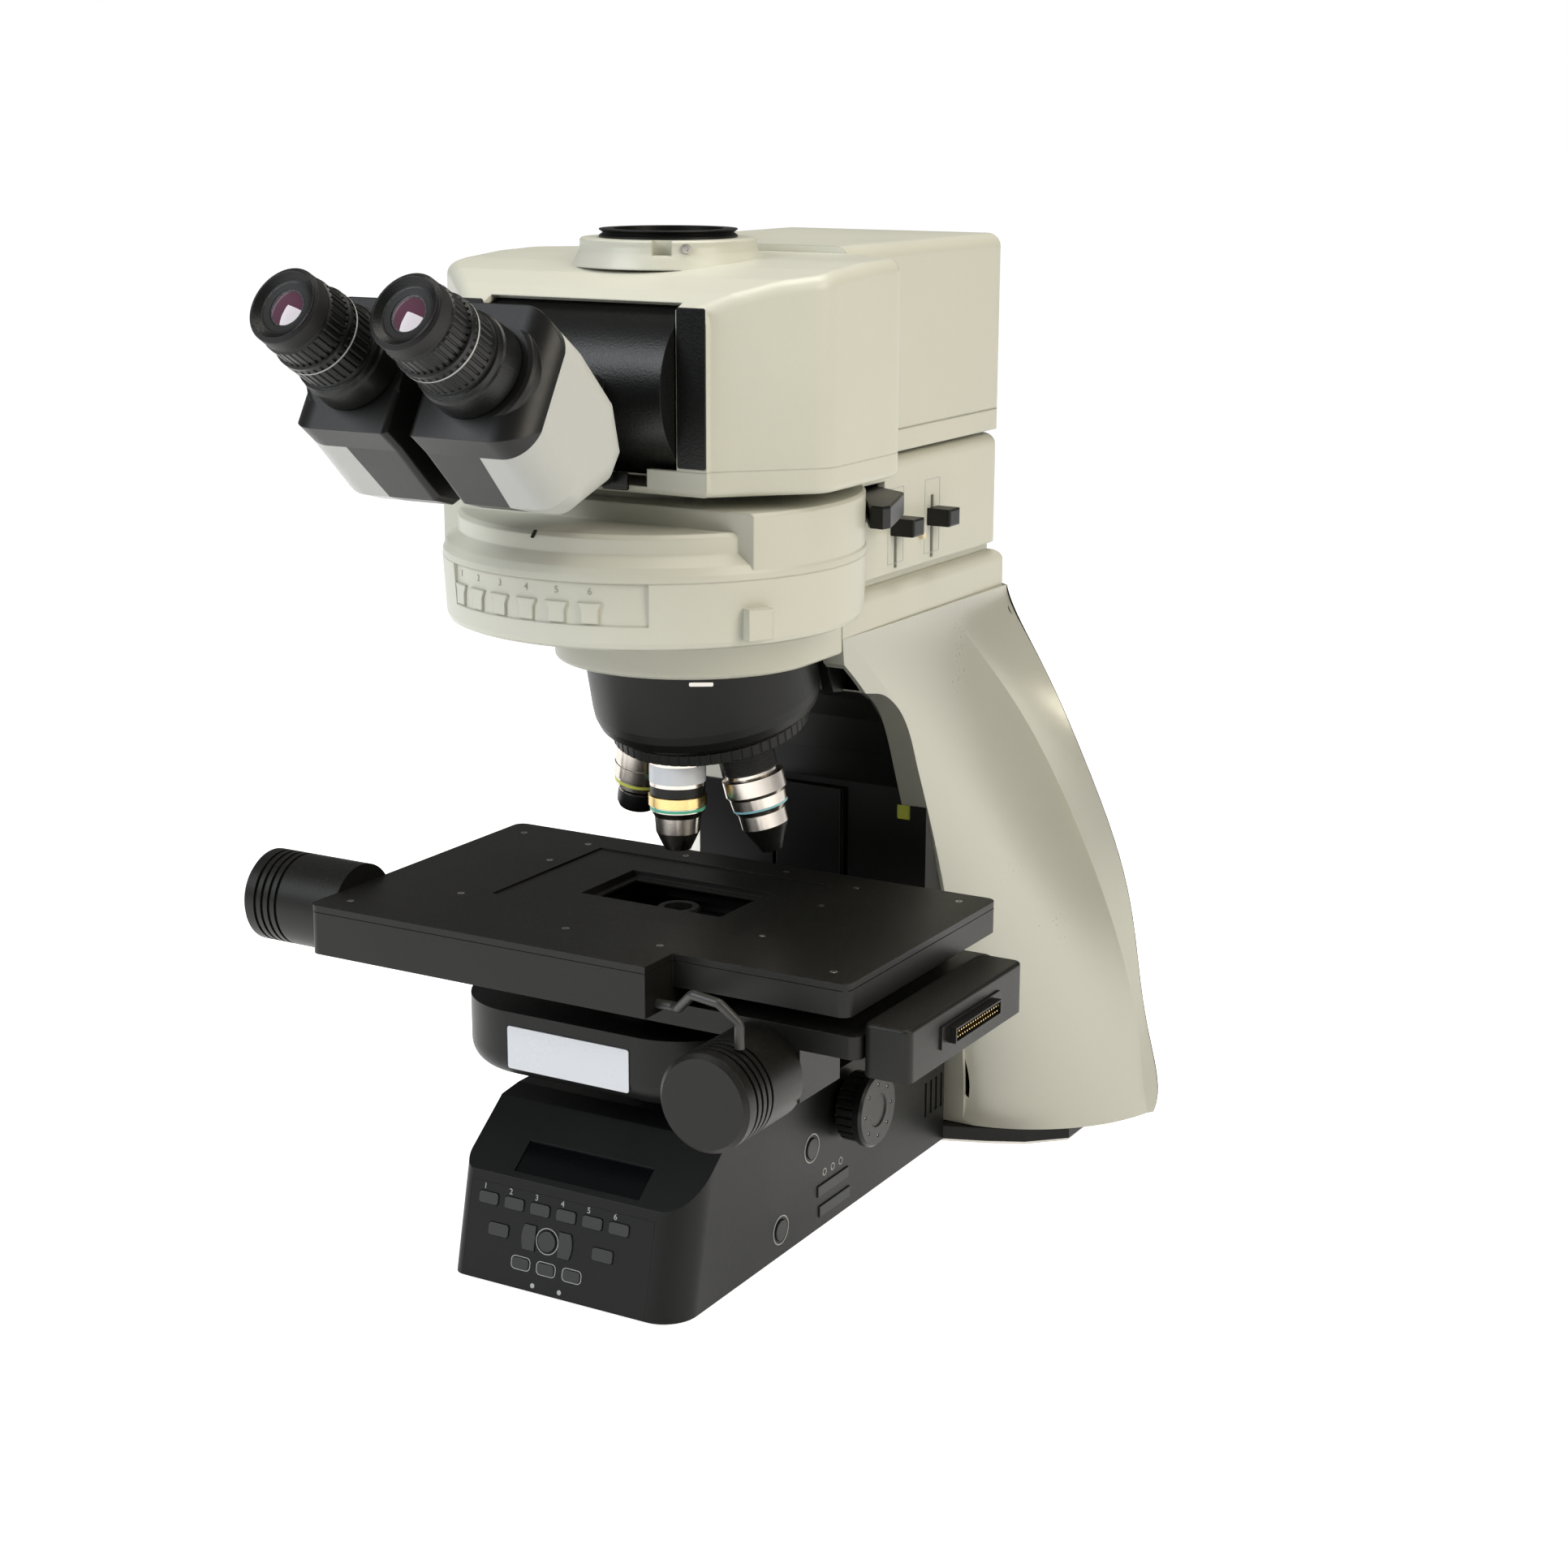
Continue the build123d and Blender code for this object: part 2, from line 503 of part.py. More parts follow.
# Rear cover closes the arm between the two side covers
rear_rows = [(row[0], row[5], row[6]) for row in ARM_SECTIONS]
rear = loft([make_face(Polyline([(-x, y + 0.8, z), (x, y + 0.8, z), (x - 8, y + 7, z), (8 - x, y + 7, z)], close=True))
             for z, y, x in rear_rows])
for k in range(8):
    rear -= box(-42, 42, 240, 300, 60 + 9 * k, 63.5 + 9 * k)
rear -= rod_y(240, 300, 0, 290, 12)
for x in (-50, -18, 18, 50):
    rear -= box(x - 11, x + 11, 276, 300, 26, 38)
rear += box(-50, 50, COLUMN_BACK_Y, 262, 104, 328)
keep("rear_cover", rear)

# Arm head: flat tongue that carries nosepiece below and filter turret above
tongue = post(0, ARM_NOSE_Y, ARM_HEAD_BOTTOM, ARM_HEAD_TOP, ARM_NOSE_R)
tongue += box(-ARM_NOSE_R, ARM_NOSE_R, ARM_NOSE_Y, 52, ARM_HEAD_BOTTOM, ARM_HEAD_TOP)
tongue = rounded(tongue, tongue.edges().group_by(Axis.Z)[0], 2.5, 1.5)
tongue -= box(-90, 90, 51.9, 100, ARM_HEAD_BOTTOM - 1, COVER_TOP)
cap = box(-ARM_HALF, ARM_HALF, 51.5, REAR_BOX_BACK_Y + 5, COVER_TOP, ARM_CAP_TOP)
cap = rounded(cap, cap.edges().filter_by(Axis.Y).group_by(Axis.Z)[-1] + cap.edges().filter_by(Axis.X).sort_by(
    Axis.Y)[-2:].sort_by(Axis.Z)[-1:], 7, 4)
tongue += cap
tongue += box(-COLUMN_HALF, COLUMN_HALF, 52, REAR_BOX_BACK_Y, ARM_HEAD_BOTTOM, COVER_TOP)
tongue -= post(0, 0, 300, 400, 24)
tongue -= post(0, DRUM_Y, DRUM_BOTTOM, 400, 113.05)
tongue -= post(0, DRUM_Y, ARM_HEAD_TOP, 400, 74.05)
keep("arm_head", tongue)

# Turret housing: a wide drum with a shallow window that shows the filter position
DRUM = Location((0, DRUM_Y, 0))
light_hole = post(0, 0, 300, 460, 24)
drum = DRUM * turned([(0, ARM_HEAD_TOP), (74, ARM_HEAD_TOP), (74, DRUM_BOTTOM), (107.5, DRUM_BOTTOM),
                      (110.2, DRUM_BOTTOM + 1.2), (111.4, DRUM_BOTTOM + 4), (113, DRUM_SEAM), (108, DRUM_SEAM),
                      (107.2, DRUM_BOTTOM + 4), (0, DRUM_BOTTOM + 4)])
drum -= light_hole
window = DRUM * (turned([(111, 376.5), (120, 376.5), (120, 399), (111, 399)])
                 & Rot(0, 0, -124.5) * Pos(0, 0, 380) * plan_shape(
                     [(0, 0), (200, 0), (200, 300), (120, 260), (0, 0)], -20, 40))
drum -= window
drum -= post(0, CAROUSEL_Y, 360, 372, 6.05)
drum += DRUM * Rot(0, 0, -31) * box(111.5, 118, -7, 7, 368, 384)
lamp_hole = rod_y(40, 120, 0, 384, 17)
drum -= rod_y(60, 120, 0, 384, 17)
keep("turret_housing", drum)

shell = DRUM * turned([(0, DRUM_SEAM), (113, DRUM_SEAM), (112.6, 401.5), (110.5, 405.5), (105.4, SHOULDER_TOP),
                       (BOSS_R, SHOULDER_TOP + 1), (BOSS_R, BOSS_TOP - 2), (BOSS_R - 2, BOSS_TOP), (0, BOSS_TOP)])
wall = DRUM * turned([(0, DRUM_SEAM), (DRUM_R, DRUM_SEAM), (DRUM_R, REAR_WALL_TOP - 1.5), (DRUM_R - 1.5, REAR_WALL_TOP),
                      (0, REAR_WALL_TOP)]) & box(-150, 150, -79, 150, 390, 440)
neck = post(0, -12, REAR_WALL_TOP - 12, HEAD_BOTTOM, 50)
cavity = DRUM * turned([(0, DRUM_SEAM - 1), (107, DRUM_SEAM - 1), (107, 400), (99.5, 408), (99.5, BOSS_TOP - 5),
                        (0, BOSS_TOP - 5)])
cavity += box(-90, 90, -74, 60, 400, REAR_WALL_TOP - 5) & DRUM * turned([(0, 390), (104, 390), (104, 440), (0, 440)])
cover = shell + wall + neck - cavity - light_hole
cover += post(0, CAROUSEL_Y, 405, BOSS_TOP - 4, 9) - post(0, CAROUSEL_Y, 400, 412, 4.05)
cover -= light_hole
keep("turret_cover", biggest(cover))

# Carousel of six filter cubes; the cube in use stands in the optical axis
wheel = turned([(8, 369), (62, 369), (62, 372), (58, 374), (8, 374)])
wheel += turned([(4, 369), (8, 369), (8, 404), (4, 404)])
axle = turned([(0, DRUM_BOTTOM), (6, DRUM_BOTTOM), (6, 368.6), (8, 368.6), (8, 369), (4, 369), (4, 411.5), (0, 411.5)])
for k in range(6):
    arm = Rot(0, 0, 60 * k + 90)
    wheel -= arm * post(CUBE_ORBIT, 0, 360, 380, 11)
carousel = [wheel, axle]
for k in range(6):
    cube = box(-CUBE / 2, CUBE / 2, -CUBE / 2, CUBE / 2, 374, 400)
    cube -= post(0, 0, 370, 402, 11)
    cube -= rod_y(-2, 20, 0, 387, 10)
    cube = rounded(cube, cube.edges().filter_by(Axis.Z).filter_by_position(Axis.X, -16, -13), 2, 1)
    carousel.append(Rot(0, 0, 60 * k) * Pos(0, CUBE_ORBIT, 0) * cube)
keep("filter_carousel", Location((0, CAROUSEL_Y, 0)) * Compound(carousel))

# Illuminator behind the drum, with two diaphragm slides and a shutter lever on its right side
lamp = box(-ARM_HALF, ARM_HALF, 40, LAMP_BACK_Y, LAMP_BOTTOM, LAMP_TOP)
lamp = rounded(lamp, upright_edges(lamp, [(-ARM_HALF, LAMP_BACK_Y), (ARM_HALF, LAMP_BACK_Y)]), 18, 12)
lamp = rounded(lamp, lamp.faces().sort_by(Axis.Z)[-1].edges().sort_by(Axis.Y)[1:], 7, 4)
lamp += box(-68, 68, 80, LAMP_BACK_Y - 8, ARM_CAP_TOP, LAMP_BOTTOM)
lamp -= box(-70.5, 70.5, 30, LAMP_BACK_Y - 5, LAMP_BOTTOM + 4, LAMP_TOP - 4)
lamp -= post(0, DRUM_Y, 300, 500, 113.1)
lamp -= box(-90, 90, 0, 66, LAMP_TOP - 6, 500)
for y in SLOT_Y:
    lamp -= box(70, 80, y - 1.8, y + 1.8, SLOT_Z - 24, SLOT_Z + 12)
lamp -= box(57, 80, 60, 99, 409, 425)
lamp += post(64, 89, 407, LAMP_TOP - 3, 2.5)
keep("illuminator_body", lamp)
for name, y in zip(("field_diaphragm_slide", "aperture_diaphragm_slide"), SLOT_Y):
    slide = box(75.4, 90, y - 6.5, y + 6.5, SLOT_Z - 5, SLOT_Z + 5)
    slide = rounded(slide, slide.faces().sort_by(Axis.X)[-1].edges(), 1.2)
    slide += box(66, 76, y - 1.4, y + 1.4, SLOT_Z - 4, SLOT_Z + 4)
    slide += box(67.5, 70.1, y - 5, y + 5, SLOT_Z - 8, SLOT_Z + 8)
    keep(name, slide)
lever = plan_shape([(59, 84), (76, 66), (88, 48), (104, 28), (112, 27), (113, 34), (104, 60), (95, 84), (76, 95),
                    (59, 95)], 410.5, 422.5)
lever = rounded(lever, lever.faces().sort_by(Axis.Z)[-1].edges(), 1.5, 0.8)
lever -= post(0, DRUM_Y, 300, 500, 113.4)
lever -= post(64, 89, 400, 430, 2.55)
keep("shutter_lever", lever)

# Head: a rim that sits on the turret, a cover with swelling flanks and a long rear housing
HEAD_PLAN = [(-ARM_HALF, HEAD_FRONT_Y), (ARM_HALF, HEAD_FRONT_Y), (ARM_HALF, -86), (BULGE_HALF, -42), (BULGE_HALF, 38),
             (ARM_HALF + 12, HEAD_BACK_Y), (-ARM_HALF - 12, HEAD_BACK_Y), (-BULGE_HALF, 38), (-BULGE_HALF, -42),
             (-ARM_HALF, -86)]
BULGE_CORNERS = [(BULGE_HALF, -42), (BULGE_HALF, 38), (-BULGE_HALF, 38), (-BULGE_HALF, -42)]


def head_block(z0, z1, inset=0.0):
    """The head's plan outline pulled up, with rounded flanks."""
    points = [(x - math.copysign(inset, x), y + (inset if y < 0 else -inset)) for x, y in HEAD_PLAN]
    block = plan_shape(points, z0, z1)
    picks = [(x - math.copysign(inset, x), y + (inset if y < 0 else -inset)) for x, y in BULGE_CORNERS]
    return rounded(block, upright_edges(block, picks), 18, 12)


def head_profile(drop):
    """The head's side view: a short chamfer at the front, then a long gentle crown."""
    return [(HEAD_FRONT_Y - 5, HEAD_SEAM - 20), (HEAD_FRONT_Y - 5, 530 - drop), (HEAD_FRONT_Y, 530 - drop),
            (-86, 532 - drop), (-74, 538 - drop), (-56, 544 - drop), (-30, 548 - drop), (0, 550.3 - drop),
            (HEAD_BACK_Y + 5, 551.5 - drop), (HEAD_BACK_Y + 5, HEAD_SEAM - 20)]


rim = head_block(HEAD_BOTTOM, HEAD_SEAM)
rim = rounded(rim, rim.faces().sort_by(Axis.Z)[0].edges(), 4, 2)
rim -= head_block(HEAD_BOTTOM + 4, HEAD_SEAM + 1, 4)
rim -= light_hole
rim -= box(-40, 40, -95, -80, HEAD_BOTTOM + 4, HEAD_SEAM + 1)
for side in (-1, 1):
    x0, x1 = sorted((side * 58.5, side * 66))
    bearing = box(x0, x1, -74, -42, HEAD_BOTTOM + 4, 492) + rod_x(x0, x1, TILT_Y, TILT_Z, 13)
    rim += bearing - rod_x(x0, x1, TILT_Y, TILT_Z, 6.06)
keep("head_rim", rim)

crown = head_block(HEAD_SEAM, 560)
crown &= side_shape(head_profile(0), -130, 130)
crown_rim = [e for e in crown.edges() if e.center().Z > 528 and abs((e % 0.5).X) < 0.95]
crown = rounded(crown, crown_rim, 9, 7, 5, 3, 2, 1)
crown -= head_block(HEAD_SEAM - 1, 560, 3.5) & side_shape(head_profile(3.5), -130, 130)
crown -= box(-57.6, 57.6, -100, -80, HEAD_SEAM - 1, 533)
crown += post(0, PORT_Y, 544, 549, PORT_FLANGE_R + 3) & side_shape(head_profile(0), -130, 130)
flare = Pos(0, PORT_Y, 0) * turned([(PORT_BORE_R, 546), (PORT_FLANGE_R + 4, 546), (PORT_FLANGE_R + 2, 551),
                                    (PORT_FLANGE_R + 0.5, 554), (PORT_FLANGE_R, 557), (PORT_FLANGE_R, 559.5),
                                    (PORT_FLANGE_R - 1, PORT_FLANGE_TOP), (PORT_BORE_R, PORT_FLANGE_TOP)])
crown += flare
crown -= post(0, PORT_Y, 530, 600, PORT_BORE_R)
crown -= Pos(0, PORT_Y, 0) * Rot(0, 0, -62) * box(PORT_FLANGE_R - 9, PORT_FLANGE_R + 4, -5, 5, 553, 562)
keep("head_cover", crown)
port = Pos(0, PORT_Y, 0) * turned([(PORT_BORE_R - 4, 545), (PORT_BORE_R, 545), (PORT_BORE_R, PORT_FLANGE_TOP),
                                   (36.5, PORT_FLANGE_TOP), (36.5, 561.5), (34.4, 563), (36.5, 564.5), (36.2, PORT_TOP),
                                   (PORT_BORE_R - 1, PORT_TOP), (PORT_BORE_R - 1, PORT_TOP - 3),
                                   (PORT_BORE_R - 4, PORT_TOP - 3)])
keep("camera_port_ring", port)

back = box(-ARM_HALF, ARM_HALF, HEAD_BACK_Y, REAR_BOX_BACK_Y, HEAD_BOTTOM + 2, REAR_BOX_TOP)
back = rounded(back, upright_edges(back, [(-ARM_HALF, REAR_BOX_BACK_Y), (ARM_HALF, REAR_BOX_BACK_Y)]), 10, 6)
back = rounded(back, back.faces().sort_by(Axis.Z)[-1].edges().sort_by(Axis.Y)[1:], 8, 4)
back -= box(-ARM_HALF + 3.5, ARM_HALF - 3.5, HEAD_BACK_Y - 1, REAR_BOX_BACK_Y - 4, HEAD_BOTTOM + 5, REAR_BOX_TOP - 4)
for side in (-1, 1):
    x0, x1 = sorted((side * (ARM_HALF - 0.8), side * (ARM_HALF + 1)))
    back -= box(x0, x1, HEAD_BACK_Y - 1, REAR_BOX_BACK_Y + 1, 452, 452.8)
for k in range(7):
    back -= box(-36, 36, REAR_BOX_BACK_Y - 6, REAR_BOX_BACK_Y + 1, 470 + 9 * k, 473.5 + 9 * k)
keep("rear_housing", back)

# Tilting drum that carries the binocular: a curved apron that follows the opening of the head
sector = side_shape([(0, 0)] + [(70 * math.cos(math.radians(a)), 70 * math.sin(math.radians(a)))
                                for a in range(100, 276, 5)], -TILT_HALF, TILT_HALF)
apron = rod_x(-TILT_HALF, TILT_HALF, 0, 0, TILT_R) - rod_x(-TILT_HALF + 4, TILT_HALF - 4, 0, 0, TILT_R - 4)
apron = apron & (sector + rod_x(-TILT_HALF, -TILT_HALF + 4, 0, 0, 14) + rod_x(TILT_HALF - 4, TILT_HALF, 0, 0, 14))
apron += rod_x(TILT_HALF - 0.1, 65.5, 0, 0, 6) + rod_x(-65.5, -TILT_HALF + 0.1, 0, 0, 6)
tilt = Pos(0, TILT_Y, TILT_Z) * apron
NECK_FRONT = -147.0
snout = box(-24, 24, NECK_FRONT, -96, 442, 498)
snout = rounded(snout, snout.edges().filter_by(Axis.Y), 5, 3)
snout += box(-20, 20, NECK_FRONT - 12, NECK_FRONT + 1, 462, 474)
snout += box(-20, 20, NECK_FRONT - 16, NECK_FRONT - 12, 456, 480)
snout -= box(-19, 19, -140, -80, 449, 491)
tilt += snout - (Pos(0, TILT_Y, TILT_Z) * rod_x(-60, 60, 0, 0, TILT_R - 2))
tilt -= box(-19, 19, -112, -80, 470, 491)
keep("tilt_drum", tilt)

# Binocular: an arm and an eyepiece on each side, drawn on the tube's own axis
LEAN = math.radians(TUBE_LEAN)
TUBE_DIR = (0, math.cos(LEAN), -math.sin(LEAN))


def tube_frame(x):
    """Own frame of an eyepiece tube: z runs from the eye into the head."""
    return Plane(origin=(x, EYE_Y, EYE_Z), x_dir=(1, 0, 0), z_dir=TUBE_DIR)


def arm_outline(grow=0.0):
    """Side view of a binocular arm: distance along the tube and height above it."""
    points = [(60, 34), (95, 31), (130, 22), (150, 2), (148, -16), (126, -41), (112, -45), (75, -36), (60, -34)]
    return [(EYE_Y + t * math.cos(LEAN) + w * math.sin(LEAN), EYE_Z - t * math.sin(LEAN) + w * math.cos(LEAN))
            for t, w in points]


arm_solid = side_shape(arm_outline(), 6.6, EYE_X + POD_R)
long_edges = [e for e in arm_solid.edges() if abs(e.center().X - (EYE_X + POD_R)) < 0.1]
arm_solid = rounded(arm_solid, long_edges, 18, 12, 8)
inner_edges = [e for e in arm_solid.edges() if abs(e.center().X - 6.6) < 0.1]
arm_solid = rounded(arm_solid, inner_edges, 3, 1.5)
arm_solid &= box(6.6, 70, -250, NECK_FRONT - 0.3, 420, 560)
collar = tube_frame(EYE_X) * turned([(0, 60), (POD_INNER, 60), (POD_INNER + 2, 60.8), (POD_INNER + 3, 63), (POD_INNER + 3, 74),
                                     (0, 74)])
arm_solid += collar & box(6.6, 70, -300, 0, 400, 600)
arm_solid -= tube_frame(EYE_X) * Pos(0, 0, 80) * Cylinder(SLEEVE_R + 0.05, 50)
arm_solid -= tube_frame(EYE_X) * Pos(0, 0, 118) * Cylinder(12, 40)
arm_solid -= box(0, 30.5, NECK_FRONT - 12.3, 0, 461.7, 474.3)
arm_solid -= box(0, 30.5, NECK_FRONT - 16.6, NECK_FRONT - 11.7, 455.7, 480.3)
keep("right_eyepiece_arm", arm_solid)
keep("left_eyepiece_arm", mirrored(arm_solid))

eyepiece = turned([(0, 4), (9, 4), (13, 2.6), (16.6, 0), (EYEPIECE_R, 1.2), (EYEPIECE_R, 10), (19.5, 11), (19.5, 22),
                   (21, 23), (21, 42), (22.5, 42.6), (22.5, 46), (23.4, 47), (24, 59.4), (SLEEVE_R, 59.6),
                   (SLEEVE_R, 99), (12, 99), (12, 60), (14, 30), (0, 30)])
for cutter in ring(Cylinder(0.7, 12), 36, 19.6, 16.5):
    eyepiece -= cutter
for cutter in ring(Cylinder(0.8, 15), 36, 21.1, 32.5):
    eyepiece -= cutter
keep("right_eyepiece", tube_frame(EYE_X) * eyepiece)
keep("left_eyepiece", tube_frame(-EYE_X) * eyepiece)

# Nosepiece: fixed housing under the arm head, turret with six tilted places
nose = TURRET * turned([(0, 12.4), (53, 12.4), (53, 10.4), (54, 10.4), (58, 11.5), (62, 15), (63.6, 20),
                        (NOSE_HOUSING_R, 25), (NOSE_HOUSING_R, 80), (0, 80)])
nose -= TURRET * turned([(0, 12), (52, 12), (52, 22), (59, 26), (59, 90), (10, 90), (10, 44), (0, 44)])
nose += TURRET * turned([(6.1, 30), (16, 30), (16, 44), (60, 44), (60, 48), (6.1, 48)])
nose &= box(-90, 90, -90, 120, 200, ARM_HEAD_BOTTOM)
nose -= post(0, 0, 250, 360, 15)
keep("nosepiece_housing", biggest(nose))

turret = turned([(0, -8.6), (8, -8.56), (56, 3.85), (56, 10), (50, 10), (50, 14), (15, 14), (15, 29), (6, 29), (6, 43.5),
                 (0, 43.5)])
for cutter in ring(Cylinder(1.0, 8), 60, 56.4, 7.4):
    turret -= cutter
TO_PLACE = TURRET.location
FROM_PLACE = TURRET.location.inverse()


def at_place(k, piece):
    """Moves a piece drawn in the working place to another place of the nosepiece."""
    return TO_PLACE * Rot(0, 0, 60 * k) * FROM_PLACE * piece


nosepiece = TURRET * turret
seat = post(0, 0, SHOULDER_Z - 6, SHOULDER_Z, 15.9)
for k in range(PLACES):
    nosepiece -= at_place(k, seat)
    nosepiece -= at_place(k, post(0, 0, SHOULDER_Z - 20, SHOULDER_Z + 20, THREAD_R))


def objective(profile):
    """An objective lens drawn downwards from its shoulder, with its thread and front lens."""
    body = turned([(0, 4.5), (THREAD_R, 4.5), (THREAD_R, 0)] + profile + [(0, profile[-1][1])])
    body -= turned([(0, 6), (9, 6), (9, -14), (5, -20), (0, -20)])
    tip_r, tip_h = profile[-1]
    body -= Pos(0, 0, tip_h) * Sphere(tip_r * 0.6) & Pos(0, 0, tip_h) * Cylinder(tip_r * 0.7, 1.4)
    return Pos(0, 0, SHOULDER_Z) * body


low = [(15.5, 0), (15.5, -15), (15.1, -15.3), (15.1, -16.5), (15.5, -16.8), (15.5, -24), (14.4, -25), (14.4, -30),
       (11.6, -33), (11.6, -41), (10.2, -44)]
middle = [(15.75, 0), (15.75, -15), (15.2, -15.3), (15.2, -20.5), (16.2, -20.8), (16.2, -26.4), (15.4, -26.8),
          (15.4, -29.4), (13, -33), (12.2, -42), (9.6, -47.5), (7.4, -52)]
high = [(14.85, 0), (14.85, -12), (14.3, -12.4), (14.3, -14), (17.35, -15), (17.35, -24), (16, -26), (15.4, -33),
        (13.4, -36), (13.2, -44), (8, -54), (6, -59)]
plug = turned([(0, 4), (THREAD_R, 4), (THREAD_R, 0), (15.4, 0), (15.4, -2.6), (14.6, -3.4), (0, -3.4)])
keep("objective_10x", at_place(-1, objective(low)))
keep("objective_20x", at_place(0, objective(middle)))
keep("objective_40x", at_place(1, objective(high)))
keep("objective_4x", at_place(-2, objective(low)))
plugs = [at_place(k, Pos(0, 0, SHOULDER_Z) * plug) for k in (2, 3)]
keep("nosepiece_turret", Compound([nosepiece] + plugs))

# Stage carrier: rides on the column and holds the fixed plate, the connector box and the front motor
plate = box(-110, 160, -84, 75, PLATE_BOTTOM, PLATE_TOP)
plate = rounded(plate, plate.edges().filter_by(Axis.Z), 6, 3)
plate -= post(0, 0, 150, 180, 50)
x0, x1, y0, y1, z0, z1 = BOX
housing_box = box(x0 - 0.1, x1, y0, y1, z0, z1)
housing_box = rounded(housing_box, housing_box.edges().filter_by(Axis.Z), 5, 3)
housing_box = rounded(housing_box, housing_box.faces().sort_by(Axis.Z)[-1].edges(), 2, 1)
housing_box -= box(x0 + 3, x1 - 3, y0 + 3, y1 - 3, z0 + 3, z1 - 3)
plate -= box(x0 - 0.1, x1, y0, y1, z0, z1)
housing_box -= box(x1 - 2, x1 + 1, CONNECTOR_Y - 27.4, CONNECTOR_Y + 27.4, CONNECTOR_Z - 4.5, CONNECTOR_Z + 4.5)
carrier = plate + housing_box
carrier += box(-50, 50, 70, 149.6, 118, PLATE_TOP) - box(-38, 38, 60, 136, 126, 161)
carrier += box(-50, 50, 126, 149.6, 101, PLATE_TOP)
carrier -= box(-22.4, 22.4, 146.6, 151, 90, 180)
for side in (-1, 1):
    a, b = sorted((side * 15.4, side * 25.6))
    c, d = sorted((side * 22.4, side * 25.6))
    carrier += box(a, b, 148.4, 150.1, 109, 166) + box(c, d, 140, 150.1, 109, 166)
carrier += box(86, 126, -84, -41, 128, PLATE_BOTTOM)

connector = box(x1, x1 + 1.2, CONNECTOR_Y - 34.6, CONNECTOR_Y + 34.6, CONNECTOR_Z - 6.2, CONNECTOR_Z + 6.2)
connector += box(x1 - 3, x1 + 5.6, CONNECTOR_Y - 27.2, CONNECTOR_Y + 27.2, CONNECTOR_Z - 4.2, CONNECTOR_Z + 4.2)
connector -= box(x1 + 1, x1 + 7, CONNECTOR_Y - 26.2, CONNECTOR_Y + 26.2, CONNECTOR_Z - 3.2, CONNECTOR_Z + 3.2)
keep("stage_carrier", carrier + connector)


def motor(length):
    """A drive motor lying along Z from 0, its free end domed a little and its case ribbed."""
    can = turned([(0, 0), (24, 0), (MOTOR_R, 2.5), (MOTOR_R, length), (0, length)])
    for k in range(4):
        can -= turned([(MOTOR_R - 1.6, 9 + 5 * k), (MOTOR_R + 1, 9 + 5 * k), (MOTOR_R + 1, 11 + 5 * k),
                       (MOTOR_R - 1.6, 11 + 5 * k)])
    return can


y_motor = Plane(origin=(MOTOR_Y_X, MOTOR_Y_END, MOTOR_Y_Z), x_dir=(1, 0, 0), z_dir=(0, 1, 0)) * motor(56)
keep("front_motor", y_motor)

# Middle slide: travels front to back on the carrier
middle_slide = box(-110, 130, -56, 78, MIDDLE_BOTTOM, 180.7)
middle_slide -= box(-62, 62, -53, 65, 160, 190)
for y in (-55, 71):
    middle_slide -= box(-104, 124, y, y + 4, 177.5, 181)
keep("middle_slide", middle_slide)

# Stage top: travels left and right on the middle slide
outline = [(STAGE_LEFT, STAGE_FRONT_LEFT), (STAGE_STEP_X, STAGE_FRONT_LEFT), (STAGE_STEP_X, STAGE_FRONT_RIGHT),
           (STAGE_RIGHT, STAGE_FRONT_RIGHT), (STAGE_RIGHT, STAGE_BACK), (STAGE_LEFT, STAGE_BACK)]
top = plan_shape(outline, SLAB_BOTTOM, STAGE_TOP)
top = rounded(top, upright_edges(top, [outline[0], outline[3], outline[4], outline[5]]), 6, 3)
drive = box(STAGE_LEFT, STAGE_STEP_X, STAGE_FRONT_LEFT, STAGE_STEP_Y, DRIVE_BOTTOM, SLAB_BOTTOM + 1)
drive = rounded(drive, upright_edges(drive, [(STAGE_LEFT, STAGE_FRONT_LEFT)]), 6, 3)
top += drive
top -= box(STAGE_LEFT + 8, STAGE_STEP_X - 8, STAGE_FRONT_LEFT + 5, STAGE_STEP_Y - 5, DRIVE_BOTTOM - 1, SLAB_BOTTOM + 8)
x0, x1, y0, y1 = RECESS
top -= box(x0, x1, y0, y1, STAGE_TOP - RECESS_DEEP, STAGE_TOP + 1)
x0, x1, y0, y1 = OPENING
top -= box(x0, x1, y0, y1, SLAB_BOTTOM - 1, STAGE_TOP)
top -= box(STAGE_LEFT - 1, STAGE_RIGHT + 1, STAGE_FRONT_LEFT - 1, STAGE_BACK + 1, STAGE_TOP - COVER_PLATE - 0.4,
           STAGE_TOP - COVER_PLATE) - plan_shape([(x * 0.992, y * 0.992) for x, y in outline], 190, 200)
top -= box(STAGE_LEFT + 12, STAGE_RIGHT - 12, 66, 78, SLAB_BOTTOM - 1, SLAB_BOTTOM + 6)
keep("stage_top", top)
x_motor = Plane(origin=(MOTOR_LEFT_END, SCREW_X_Y, SCREW_X_Z), x_dir=(0, 1, 0), z_dir=(1, 0, 0)) * motor(
    STAGE_LEFT - MOTOR_LEFT_END)
keep("side_motor", x_motor)

# Specimen holder dropped into the recess, with a sprung finger
x0, x1, y0, y1 = RECESS
holder = box(x0 + 0.3, x1 - 0.3, y0 + 0.3, y1 - 0.3, STAGE_TOP - RECESS_DEEP, STAGE_TOP - 1)
holder -= box(-52, 40, -20, 34, 180, 210)
holder += box(-52, 40, -20, 34, STAGE_TOP - RECESS_DEEP, STAGE_TOP - RECESS_DEEP + 1.2) - box(-46, 34, -14, 28, 180, 210)
keep("specimen_holder", holder)

